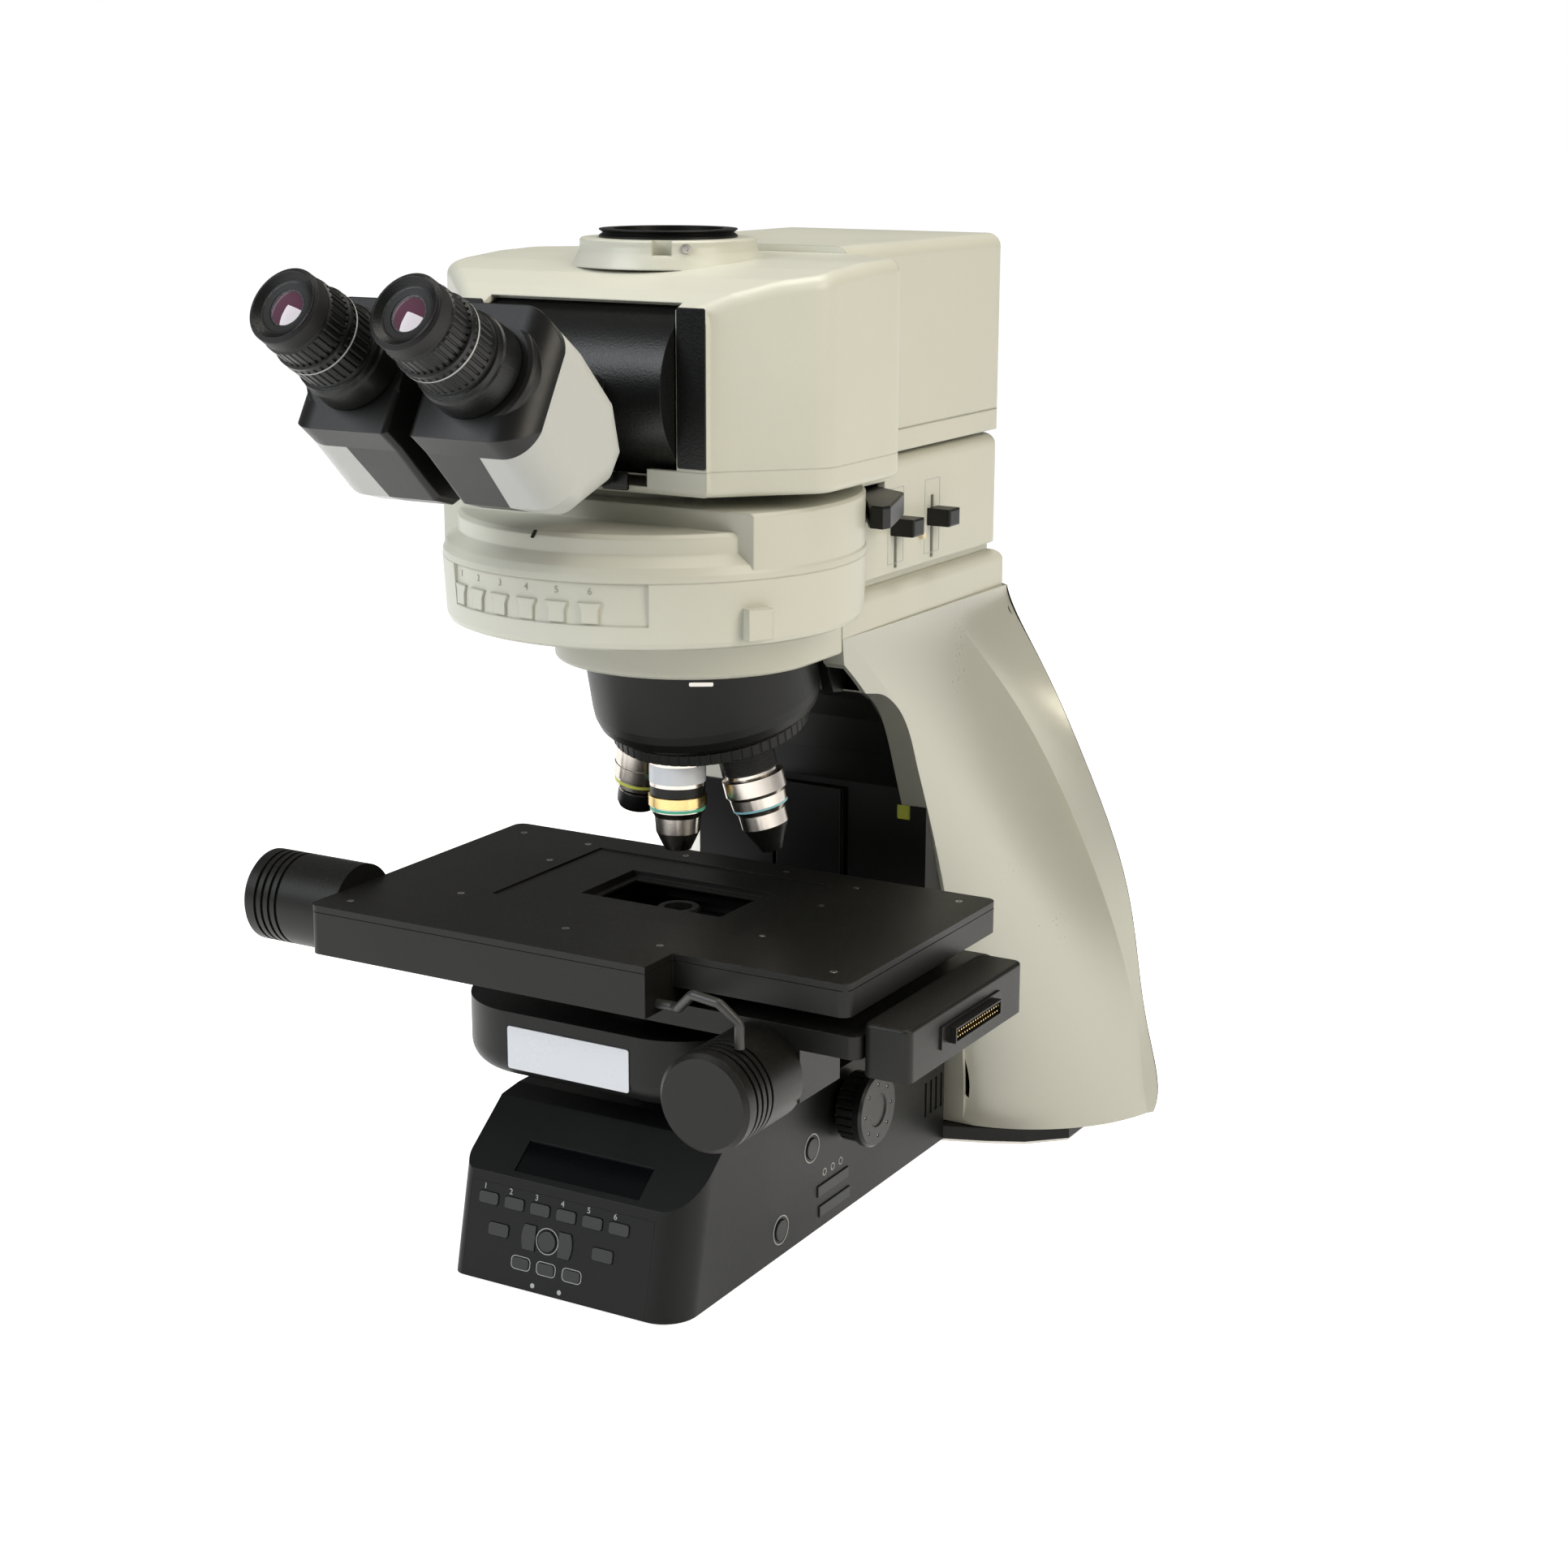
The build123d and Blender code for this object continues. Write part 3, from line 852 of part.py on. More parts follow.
# Condenser under the stage
shell = box(HOUSING_LEFT, HOUSING_RIGHT, HOUSING_FRONT, HOUSING_BACK, HOUSING_BOTTOM, HOUSING_TOP)
shell = rounded(shell, upright_edges(shell, [(HOUSING_LEFT, HOUSING_FRONT), (HOUSING_RIGHT, HOUSING_FRONT)]),
                HOUSING_CORNER, 30)
shell = rounded(shell, shell.faces().sort_by(Axis.Z)[0].edges().sort_by(Axis.Y)[:-1], 14, 10, 6)
hollow = box(HOUSING_LEFT + 14, HOUSING_RIGHT - 14, HOUSING_FRONT + 16, HOUSING_BACK - 4, HOUSING_BOTTOM + 4,
             HOUSING_TOP - 4)
shell -= rounded(hollow, upright_edges(hollow, [(HOUSING_LEFT + 14, HOUSING_FRONT + 16),
                                                (HOUSING_RIGHT - 14, HOUSING_FRONT + 16)]), 34, 20)
shell += turned([(0, HOUSING_TOP - 5), (22, HOUSING_TOP - 5), (22, 178), (16, 178), (12.5, 180), (12.5, LENS_TOP - 1), (11.5, LENS_TOP),
                 (0, LENS_TOP)])
shell -= turned([(0, HOUSING_BOTTOM - 1), (12, HOUSING_BOTTOM - 1), (12, HOUSING_TOP), (17, HOUSING_TOP), (17, 174),
                 (8, 181), (8, LENS_TOP + 1), (0, LENS_TOP + 1)])
shell += box(-36, 36, HOUSING_BACK - 1, 125.9, HOUSING_BOTTOM + 3, 117.9)
keep("condenser", shell)

# Cable from the moving drive to the fixed motor
CABLE_R = 2.6
route = FilletPolyline([(STAGE_STEP_X, -105, 176), (64, -105, 176), (74, -118, 181), (86, -124, 192), (102, -124, 190),
                        (112, -121, 180), (112, -121, MOTOR_Y_Z + 26)], radius=4)
cable = sweep(Plane(origin=route @ 0, z_dir=route % 0) * Circle(CABLE_R), path=route)
keep("motor_cable", cable)

os.makedirs("parts", exist_ok=True)
for name, part in PARTS.items():
    export_step(SHIFT * part, f"parts/{name}.step")
print(len(PARTS), "pieces")
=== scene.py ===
# %% [markdown]
# An upright fluorescence microscope, dressed for a studio picture. The solid pieces come from the
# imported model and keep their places. This script gives each of them its finish, and adds what a
# solid model leaves out: printed figures, lenses, knurled rings, pale shells, screws and pins.
# Everything is in metres, and the optical axis of the objectives is where the drawing begins.

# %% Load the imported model
import json

import bmesh
import bpy
import numpy as np
from mathutils import Matrix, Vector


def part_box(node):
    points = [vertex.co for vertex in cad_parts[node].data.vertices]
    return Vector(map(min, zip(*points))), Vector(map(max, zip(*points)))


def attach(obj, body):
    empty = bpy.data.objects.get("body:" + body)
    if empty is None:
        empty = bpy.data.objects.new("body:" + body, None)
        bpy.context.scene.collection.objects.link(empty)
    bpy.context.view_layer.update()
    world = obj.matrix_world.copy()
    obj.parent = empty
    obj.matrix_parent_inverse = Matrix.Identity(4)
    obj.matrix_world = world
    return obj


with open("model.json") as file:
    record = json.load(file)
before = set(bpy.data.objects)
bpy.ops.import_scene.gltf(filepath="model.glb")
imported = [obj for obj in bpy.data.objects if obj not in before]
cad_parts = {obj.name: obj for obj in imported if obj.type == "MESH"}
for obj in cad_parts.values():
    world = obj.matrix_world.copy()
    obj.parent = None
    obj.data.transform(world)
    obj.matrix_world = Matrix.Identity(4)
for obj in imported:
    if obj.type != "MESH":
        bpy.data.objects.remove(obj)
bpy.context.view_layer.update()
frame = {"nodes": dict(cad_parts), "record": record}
nodes = frame["nodes"]

# %% [markdown]
# The camera port is turned about the optical axis, 5 mm in front of it. Its box therefore tells
# where that axis stands in the frame, so no place in this script has to be moved by hand.

# %% Where the optical axis stands
PORT_BEHIND = -0.005
port_low, port_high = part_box("camera_port_ring")
port_centre = [(low + high) / 2 for low, high in zip(port_low, port_high)]
AXIS = np.array([port_centre[0], port_centre[1] - PORT_BEHIND, 0.0])
print("optical axis at", AXIS.round(4))


# %% [markdown]
# Most details sit on a leaning or turned face. A small frame holds such a face: an origin and three
# unit vectors. A detail is then drawn flat, in millimetres, and placed with one matrix product.

# %% Frames of the faces
def unit(v):
    """A vector divided by its own length."""
    v = np.asarray(v, float)
    return v / np.linalg.norm(v)


def face_frame(origin, normal, along):
    """Rows: the face's own x, y and z directions, then its origin, all about the optical axis in mm."""
    z = unit(normal)
    x = unit(np.asarray(along, float) - z * np.dot(along, z))
    return np.array([x, np.cross(z, x), z, np.asarray(origin, float)])


def placed(points, face):
    """Local millimetres to metres in the frame: a sum of the three directions, plus the origin."""
    return (np.asarray(points, float) @ face[:3] + face[3]) / 1000 + AXIS


WORLD = face_frame((0, 0, 0), (0, 0, 1), (1, 0, 0))
PANEL_LEAN, PANEL_FOOT_Y = np.radians(12.63), -121.9
PANEL = face_frame((0, PANEL_FOOT_Y, 0), (0, -np.cos(PANEL_LEAN), np.sin(PANEL_LEAN)), (1, 0, 0))
TURRET_LEAN = np.radians(14.5)
TURRET_ORBIT = 38.0
SHOULDER = 279.0
turret_hub = (0, TURRET_ORBIT * np.cos(TURRET_LEAN), SHOULDER + TURRET_ORBIT * np.sin(TURRET_LEAN))
TURRET = face_frame(turret_hub, (0, -np.sin(TURRET_LEAN), np.cos(TURRET_LEAN)), (1, 0, 0))
TUBE_LEAN, EYE_Y, EYE_Z = np.radians(30.5), -274.0, 540.5


def tube_frame(x):
    """An eyepiece's own frame: z runs from the eye into the head, y points down."""
    return face_frame((x, EYE_Y, EYE_Z), (0, np.cos(TUBE_LEAN), -np.sin(TUBE_LEAN)), (1, 0, 0))


def turn_about(face, axis_face, degrees):
    """A frame turned about the z direction of another frame, by Rodrigues' formula."""
    a = np.radians(degrees)
    k = axis_face[2]
    cross = np.array([[0, -k[2], k[1]], [k[2], 0, -k[0]], [-k[1], k[0], 0]])
    turn = np.eye(3) + np.sin(a) * cross + (1 - np.cos(a)) * cross @ cross
    directions = face[:3] @ turn.T
    return np.vstack([directions, (face[3] - axis_face[3]) @ turn.T + axis_face[3]])


print("turret leans", round(np.degrees(TURRET_LEAN), 1), "tubes lean", round(np.degrees(TUBE_LEAN), 1))

# %% [markdown]
# Three kinds of surface make nearly every added piece: a profile turned about an axis, an outline
# given a thickness, and a sheet that is a function of two parameters. Each is worked out as whole
# arrays and then handed to Blender.

# %% Surfaces as arrays
def grid_faces(rows, columns, close_rows=False, close_columns=False):
    """Four-cornered faces of a grid of points, wrapping round where asked."""
    r = np.arange(rows if close_rows else rows - 1)
    c = np.arange(columns if close_columns else columns - 1)
    r, c = np.meshgrid(r, c, indexing="ij")
    r2, c2 = (r + 1) % rows, (c + 1) % columns
    corners = [r * columns + c, r2 * columns + c, r2 * columns + c2, r * columns + c2]
    return np.stack(corners, -1).reshape(-1, 4)


def make_piece(name, points, faces, material, body, sharp=35.0, bevel=0.0):
    """Hands points in metres and faces to Blender, and lets the piece ride on a body."""
    mesh = bpy.data.meshes.new(name)
    mesh.from_pydata(np.asarray(points).tolist(), [], [list(map(int, f)) for f in faces])
    mesh.polygons.foreach_set("use_smooth", np.ones(len(mesh.polygons), bool))
    mesh.validate()
    mesh.update()
    mesh.set_sharp_from_angle(angle=np.radians(sharp))
    mesh.materials.append(material)
    piece = bpy.data.objects.new(name, mesh)
    bpy.context.scene.collection.objects.link(piece)
    if bevel:
        edge = piece.modifiers.new("edge", "BEVEL")
        edge.width = bevel / 1000
        edge.segments = 2
        edge.limit_method = "ANGLE"
        edge.angle_limit = np.radians(40)
        edge.harden_normals = True
    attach(piece, body)
    return piece


# %% [markdown]
# Knobs, lenses, rings and screws are round. A profile of radii and heights, carried round an axis,
# gives each of them. Where a profile reaches the axis its points fall together and are merged.

# %% Turned pieces
def turned(name, profile, face, material, body, segments=64, sharp=35.0):
    """A profile of (radius, height) pairs turned about z: x = r cos a, y = r sin a, z = h."""
    r, h = np.array(profile, float).T
    a = np.linspace(0, 2 * np.pi, segments, endpoint=False)[:, None]
    grid = np.stack([r * np.cos(a), r * np.sin(a), np.broadcast_to(h, (segments, len(r)))], -1)
    points = placed(grid.reshape(-1, 3), face)
    faces = grid_faces(segments, len(r), close_rows=True)
    piece = make_piece(name, points, faces, material, body, sharp)
    weld_poles(piece)
    return piece


def weld_poles(piece):
    """Merges the points of a turned surface that meet on its axis, and points its faces outwards."""
    mesh = bmesh.new()
    mesh.from_mesh(piece.data)
    bmesh.ops.remove_doubles(mesh, verts=mesh.verts, dist=1e-7)
    bmesh.ops.recalc_face_normals(mesh, faces=mesh.faces)
    mesh.to_mesh(piece.data)
    mesh.free()


# %% [markdown]
# Labels, marks and windows are flat. An outline becomes thick when it is drawn at two heights with
# a wall between, and a printed line is the ring between two outlines.

# %% Plates and printed lines
def plate(name, outline, low, high, face, material, body, bevel=0.0):
    """An outline (n, 2) given a thickness: the outline at two heights, a wall between, and two lids."""
    outline = np.asarray(outline, float)
    n = len(outline)
    points = np.vstack([np.column_stack([outline, np.full(n, height)]) for height in (low, high)])
    wall = grid_faces(2, n, close_columns=True)[:, ::-1]
    faces = [*wall, np.arange(n)[::-1], np.arange(n, 2 * n)]
    return make_piece(name, placed(points, face), faces, material, body, bevel=bevel)


def rounded_outline(width, height, corner, centre=(0.0, 0.0), steps=6):
    """A rectangle with round corners: each corner is a quarter circle about its own centre."""
    a = np.linspace(0, np.pi / 2, steps)
    quarter = np.column_stack([np.cos(a), np.sin(a)]) * corner
    spots = [((1, 1), 0), ((-1, 1), 1), ((-1, -1), 2), ((1, -1), 3)]
    out = []
    for (sx, sy), k in spots:
        c, s = np.cos(k * np.pi / 2), np.sin(k * np.pi / 2)
        middle = [sx * (width / 2 - corner), sy * (height / 2 - corner)]
        out.append(quarter @ np.array([[c, s], [-s, c]]) + middle)
    return np.vstack(out) + centre


def frame_plate(name, outer, inner, low, high, face, material, body):
    """A flat ring between two outlines with the same number of points."""
    n = len(outer)
    edges = ((outer, low), (outer, high), (inner, high), (inner, low))
    rows = [np.column_stack([edge, np.full(n, height)]) for edge, height in edges]
    faces = grid_faces(4, n, close_rows=True, close_columns=True)[:, ::-1]
    return make_piece(name, placed(np.vstack(rows), face), faces, material, body)


# %% [markdown]
# The numbers are Blender's own letters. They become a mesh first and are placed afterwards, so the
# object stays at the origin as all the others do.

# %% Printed figures
def figure(name, text, size, face, at, material, body, proud=0.06):
    """A printed figure: Blender's own letters made into a thin mesh on the face."""
    curve = bpy.data.curves.new(name, "FONT")
    curve.body = text
    curve.size = size
    curve.align_x = "CENTER"
    curve.align_y = "CENTER"
    curve.extrude = proud / 2
    letters = bpy.data.objects.new(name + "_text", curve)
    bpy.context.scene.collection.objects.link(letters)
    bpy.context.view_layer.update()
    source = letters.evaluated_get(bpy.context.evaluated_depsgraph_get()).to_mesh()
    points = np.empty(len(source.vertices) * 3)
    source.vertices.foreach_get("co", points)
    points = points.reshape(-1, 3) + [at[0], at[1], proud / 2]
    faces = [list(p.vertices) for p in source.polygons]
    bpy.data.objects.remove(letters)
    return make_piece(name, placed(points, face), faces, material, body)


# %% [markdown]
# Finishes come next. Moulded covers and cast parts share three effects: a fine orange-peel grain, a
# slow change of tone over large faces, and a little dust on what faces up. Each effect is a node
# group with named inputs, so a material only states how strong it is there.

# %% Helpers for node groups
def new_group(name, inputs, outputs):
    """An empty node group with named sockets, and its two end nodes."""
    group = bpy.data.node_groups.new(name, "ShaderNodeTree")
    for label, kind, value in inputs:
        socket = group.interface.new_socket(label, in_out="INPUT", socket_type=kind)
        socket.default_value = value
    for label, kind in outputs:
        group.interface.new_socket(label, in_out="OUTPUT", socket_type=kind)
    return group, group.nodes.new("NodeGroupInput"), group.nodes.new("NodeGroupOutput")


def math_node(tree, operation, first, second):
    """A sum, product or comparison of two values, each a number or another node's output."""
    node = tree.nodes.new("ShaderNodeMath")
    node.operation = operation
    for k, value in enumerate((first, second)):
        if isinstance(value, (int, float)):
            node.inputs[k].default_value = value
        else:
            tree.links.new(value, node.inputs[k])
    return node.outputs[0]


def noise_node(tree, coordinates, scale, detail=2.0):
    """Smooth noise between 0 and 1, with its scale a number or a group's input."""
    node = tree.nodes.new("ShaderNodeTexNoise")
    node.inputs["Detail"].default_value = detail
    tree.links.new(coordinates, node.inputs["Vector"])
    if isinstance(scale, (int, float)):
        node.inputs["Scale"].default_value = scale
    else:
        tree.links.new(scale, node.inputs["Scale"])
    return node.outputs["Fac"]


FLOAT, COLOUR = "NodeSocketFloat", "NodeSocketColor"

# %% [markdown]
# The grain is one fine noise. The group puts out a height, which each material's own bump node
# reads.

# %% Paint grain
grain_group, grain_in, grain_out = new_group(
    "paint_grain", [("Scale", FLOAT, 1400.0), ("Height", FLOAT, 0.4)], [("Height", FLOAT)])
grain_place = grain_group.nodes.new("ShaderNodeTexCoord").outputs["Object"]
grain_fine = noise_node(grain_group, grain_place, grain_in.outputs["Scale"], 3.0)
grain_group.links.new(math_node(grain_group, "MULTIPLY", grain_fine, grain_in.outputs["Height"]),
                      grain_out.inputs["Height"])

# %% [markdown]
# No painted face is one even colour. A slow noise over whole faces and a fast one over
# millimetres are added, and move the colour and the roughness together about their middle.

# %% Change of tone
tone_group, tone_in, tone_out = new_group(
    "tone_change", [("Colour", COLOUR, (1, 1, 1, 1)), ("Amount", FLOAT, 0.06), ("Rough", FLOAT, 0.4)],
    [("Colour", COLOUR), ("Rough", FLOAT)])
tone_place = tone_group.nodes.new("ShaderNodeTexCoord").outputs["Object"]
tone_slow = noise_node(tone_group, tone_place, 9.0, 2.0)
tone_fast = noise_node(tone_group, tone_place, 420.0, 4.0)
tone_mixed = math_node(tone_group, "ADD", math_node(tone_group, "MULTIPLY", tone_slow, 0.75),
                       math_node(tone_group, "MULTIPLY", tone_fast, 0.25))
tone_signed = math_node(tone_group, "SUBTRACT", tone_mixed, 0.5)
tone_swing = math_node(tone_group, "MULTIPLY", tone_signed, tone_in.outputs["Amount"])
tone_gain = math_node(tone_group, "ADD", math_node(tone_group, "MULTIPLY", tone_swing, 4.0), 1.0)
tone_scale = tone_group.nodes.new("ShaderNodeVectorMath")
tone_scale.operation = "SCALE"
tone_group.links.new(tone_in.outputs["Colour"], tone_scale.inputs[0])
tone_group.links.new(tone_gain, tone_scale.inputs["Scale"])
tone_group.links.new(tone_scale.outputs[0], tone_out.inputs["Colour"])
tone_rough = math_node(tone_group, "ADD", tone_in.outputs["Rough"],
                       math_node(tone_group, "MULTIPLY", tone_signed, 0.3))
tone_group.links.new(tone_rough, tone_out.inputs["Rough"])

# %% [markdown]
# Dust lies on what faces up. The normal's z value is the mask, specks of noise break it up, and
# the colour is mixed towards a warm grey where both are strong.

# %% Settled dust
dust_group, dust_in, dust_out = new_group(
    "settled_dust", [("Colour", COLOUR, (1, 1, 1, 1)), ("Amount", FLOAT, 0.1)], [("Colour", COLOUR)])
dust_normal = dust_group.nodes.new("ShaderNodeNewGeometry").outputs["Normal"]
dust_split = dust_group.nodes.new("ShaderNodeSeparateXYZ")
dust_group.links.new(dust_normal, dust_split.inputs[0])
dust_place = dust_group.nodes.new("ShaderNodeTexCoord").outputs["Object"]
dust_specks = dust_group.nodes.new("ShaderNodeValToRGB")
dust_specks.color_ramp.elements[0].position = 0.56
dust_specks.color_ramp.elements[1].position = 0.76
dust_group.links.new(noise_node(dust_group, dust_place, 900.0, 2.0), dust_specks.inputs[0])
dust_up = math_node(dust_group, "MAXIMUM", dust_split.outputs["Z"], 0.0)
dust_lying = math_node(dust_group, "MULTIPLY", dust_up, dust_specks.outputs["Color"])
dust_mask = math_node(dust_group, "MULTIPLY", dust_lying, dust_in.outputs["Amount"])
dust_mix = dust_group.nodes.new("ShaderNodeMix")
dust_mix.data_type = "RGBA"
dust_group.links.new(dust_mask, dust_mix.inputs["Factor"])
dust_group.links.new(dust_in.outputs["Colour"], dust_mix.inputs[6])
dust_mix.inputs[7].default_value = (0.55, 0.53, 0.48, 1)
dust_group.links.new(dust_mix.outputs[2], dust_out.inputs["Colour"])
print("groups", [g.name for g in bpy.data.node_groups])


# %% [markdown]
# A finish is a Principled shader fed by those groups. Paint has a thin gloss coat over a matt body,
# moulded plastic has none, and metal is told apart by its metallic value.

# %% One function makes every painted or moulded finish
def finish_of(name, colour, rough, amount=0.05, grain=0.3, grain_scale=1400.0, metal=0.0, coat=0.0,
              level=0.5, dust=0.0, bump=0.15, edge=0.0):
    """Colour and roughness through the tone group, grain as bump, and soft edges of `edge` mm."""
    material = bpy.data.materials.new(name)
    material.use_nodes = True
    tree = material.node_tree
    shader = tree.nodes["Principled BSDF"]
    shader.inputs["Metallic"].default_value = metal
    shader.inputs["Coat Weight"].default_value = coat
    shader.inputs["Coat Roughness"].default_value = 0.2
    shader.inputs["Specular IOR Level"].default_value = level
    tone = tree.nodes.new("ShaderNodeGroup")
    tone.node_tree = tone_group
    tone.inputs["Colour"].default_value = (*colour, 1)
    tone.inputs["Amount"].default_value = amount
    tone.inputs["Rough"].default_value = rough
    colour_out = tone.outputs["Colour"]
    if dust:
        specks = tree.nodes.new("ShaderNodeGroup")
        specks.node_tree = dust_group
        specks.inputs["Amount"].default_value = dust
        tree.links.new(colour_out, specks.inputs["Colour"])
        colour_out = specks.outputs["Colour"]
    tree.links.new(colour_out, shader.inputs["Base Color"])
    tree.links.new(tone.outputs["Rough"], shader.inputs["Roughness"])
    surface = tree.nodes.new("ShaderNodeGroup")
    surface.node_tree = grain_group
    surface.inputs["Scale"].default_value = grain_scale
    surface.inputs["Height"].default_value = grain
    relief = tree.nodes.new("ShaderNodeBump")
    relief.inputs["Strength"].default_value = bump
    relief.inputs["Distance"].default_value = 0.0004
    tree.links.new(surface.outputs["Height"], relief.inputs["Height"])
    tree.links.new(relief.outputs["Normal"], shader.inputs["Normal"])
    if edge:
        soft_edge = tree.nodes.new("ShaderNodeBevel")
        soft_edge.samples = 4
        soft_edge.inputs["Radius"].default_value = edge / 1000
        tree.links.new(soft_edge.outputs["Normal"], relief.inputs["Normal"])
    return material


# %% [markdown]
# These are the finishes of this microscope, each named for what it covers. The colours are linear
# values, so black parts are near 0.005 and the cream paint is a little over a half.

# %% The finishes
cream = finish_of("cream_paint", (0.56, 0.56, 0.48), 0.42, amount=0.035, grain=0.5, dust=0.06,
                  coat=0.15, edge=1.4)
silver = finish_of("warm_silver_paint", (0.46, 0.46, 0.40), 0.33, amount=0.03, grain=0.4, metal=0.3,
                   coat=0.2)
black = finish_of("black_paint", (0.005, 0.0055, 0.005), 0.4, amount=0.1, grain=0.6, level=0.22,
                  edge=0.5)
stage_black = finish_of("stage_anodise", (0.007, 0.007, 0.006), 0.42, amount=0.12, grain=0.8,
                        grain_scale=2200, level=0.26, dust=0.04, edge=0.4)
moulded = finish_of("moulded_black", (0.005, 0.0055, 0.005), 0.36, amount=0.1, grain=1.0,
                    grain_scale=900, level=0.3, bump=0.3, edge=0.6)
rubber = finish_of("rubber", (0.012, 0.012, 0.012), 0.62, amount=0.1, grain=1.0, grain_scale=2600,
                   level=0.3)
key_grey = finish_of("key_plastic", (0.014, 0.016, 0.015), 0.5, amount=0.08, grain=0.5)
panel_film = finish_of("panel_film", (0.005, 0.006, 0.0055), 0.34, amount=0.08, grain=0.5, level=0.22)
dark_window = finish_of("dark_window", (0.002, 0.0025, 0.003), 0.12, amount=0.02, grain=0.05,
                        level=0.3)
print_white = finish_of("print_white", (0.42, 0.44, 0.43), 0.5, amount=0.04, grain=0.2)
print_soft = finish_of("print_soft", (0.30, 0.30, 0.27), 0.5, amount=0.04, grain=0.2)
label_white = finish_of("label_film", (0.70, 0.73, 0.77), 0.3, amount=0.008, grain=0.05, coat=0.3)
steel = finish_of("steel", (0.52, 0.50, 0.47), 0.3, amount=0.02, grain=0.15, metal=1.0)
satin_chrome = finish_of("satin_chrome", (0.62, 0.57, 0.52), 0.2, amount=0.015, grain=0.12, metal=1.0)
brass = finish_of("gilt", (0.75, 0.56, 0.25), 0.26, amount=0.02, grain=0.15, metal=1.0)
ivory = finish_of("ivory_plastic", (0.74, 0.66, 0.42), 0.4, amount=0.04)
aluminium = finish_of("aluminium", (0.62, 0.62, 0.60), 0.38, amount=0.05, grain=0.6, metal=1.0)
jacket = finish_of("cable_jacket", (0.028, 0.028, 0.026), 0.45, amount=0.08, grain=0.8)
green_ring = finish_of("green_ring", (0.10, 0.50, 0.33), 0.35, amount=0.03)
yellow_ring = finish_of("yellow_ring", (0.62, 0.66, 0.10), 0.35, amount=0.03)
blue_ring = finish_of("blue_ring", (0.25, 0.55, 0.62), 0.35, amount=0.03)
red_ring = finish_of("red_ring", (0.55, 0.06, 0.05), 0.35, amount=0.03)
lamp_glow = finish_of("signal_window", (0.42, 0.46, 0.06), 0.3, amount=0.03)
print("materials", len(bpy.data.materials))

# %% [markdown]
# The lenses sit in black barrels with nothing lit behind them, so they need no light through them.
# A dark violet body under a clear smooth coat gives the look of their antireflection layer.

# %% Glass
LENS_TINT, LENS_ROUGH = (0.10, 0.035, 0.06, 1), 0.03
lens = bpy.data.materials.new("coated_lens")
lens.use_nodes = True
lens_shader = lens.node_tree.nodes["Principled BSDF"]
lens_shader.inputs["Base Color"].default_value = LENS_TINT
lens_shader.inputs["Roughness"].default_value = LENS_ROUGH
lens_shader.inputs["Coat Weight"].default_value = 1.0
lens_shader.inputs["Coat Roughness"].default_value = 0.02
lens_tone = lens.node_tree.nodes.new("ShaderNodeGroup")
lens_tone.node_tree = tone_group
lens_tone.inputs["Colour"].default_value = LENS_TINT
lens_tone.inputs["Rough"].default_value = LENS_ROUGH
lens.node_tree.links.new(lens_tone.outputs["Colour"], lens_shader.inputs["Base Color"])
print("glass", lens.name, "roughness", LENS_ROUGH)

# %% [markdown]
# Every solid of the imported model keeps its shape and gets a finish. The record names a slot for
# each node, and one table says which finish a slot has.

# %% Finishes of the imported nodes
finish_of_slot = {
    "cream_paint": cream, "silver_paint": silver, "black_paint": black, "black_plastic": moulded,
    "grey_key": key_grey, "panel_film": panel_film, "dark_window": dark_window, "lens_glass": lens,
    "steel": steel, "chrome": satin_chrome, "motor_paint": stage_black, "cable_jacket": jacket,
    "aluminium": aluminium, "stage_black": stage_black}
for entry in frame["record"]["subparts"]:
    surface_mesh = nodes[entry["node"]].data
    surface_mesh.materials.clear()
    surface_mesh.materials.append(finish_of_slot[entry["material_slot"]])

# %% [markdown]
# The panel keys are numbered from 1 to 6. Three framed keys below them have a pale printed line
# around them, and two small lamps sit under those.

# %% Printing on the control panel
NUMBER_X = -53.5 + 17.0 * np.arange(6)
NUMBER_SIZE, NUMBER_ROW, NUMBER_LEFT = 4.6, 54.4, 3.2
FRAMED_KEY_X, FRAMED_KEY_ROW = (-28.6, -12.0, 4.8), 17.2
PANEL_LAMP_X, PANEL_LAMP_ROW = (-19.6, -2.1), 6.6
CENTRE_KEY = (-13.0, 32.4)


def on_panel(across, up):
    """A frame at a spot of the panel: the panel's origin moved along its own directions."""
    return face_frame(PANEL[:3].T @ (across, up, 0) + PANEL[3], PANEL[2], (1, 0, 0))


for k, x in enumerate(NUMBER_X):
    figure(f"panel_number_{k + 1}", str(k + 1), NUMBER_SIZE, PANEL, (x - NUMBER_LEFT, NUMBER_ROW),
           print_white, "stand")
for k, x in enumerate(FRAMED_KEY_X):
    middle = (x, FRAMED_KEY_ROW)
    outer, inner = rounded_outline(12.6, 7.6, 2.6, middle), rounded_outline(11.8, 6.8, 2.3, middle)
    frame_plate(f"key_frame_{k + 1}", outer, inner, 0, 0.12, PANEL, print_white, "stand")
for k, x in enumerate(PANEL_LAMP_X):
    turned(f"panel_lamp_{k + 1}", [(0, 0.35), (0.9, 0.25), (1.35, 0), (1.45, -1.5), (0, -1.5)],
           on_panel(x, PANEL_LAMP_ROW), print_white, "stand", 20)
turned("centre_key_ring", [(7.3, 0), (7.3, 0.15), (6.9, 0.15), (6.9, 0)], on_panel(*CENTRE_KEY), print_white,
       "stand", 40)
print("panel numbers", len(NUMBER_X), "frames", len(FRAMED_KEY_X), "lamps", len(PANEL_LAMP_X))

# %% [markdown]
# On the right side of the base, a fine line circles each round key, and white marks stand above
# the bars. The focus knob has eight dimples on its face, each with a pale dot.

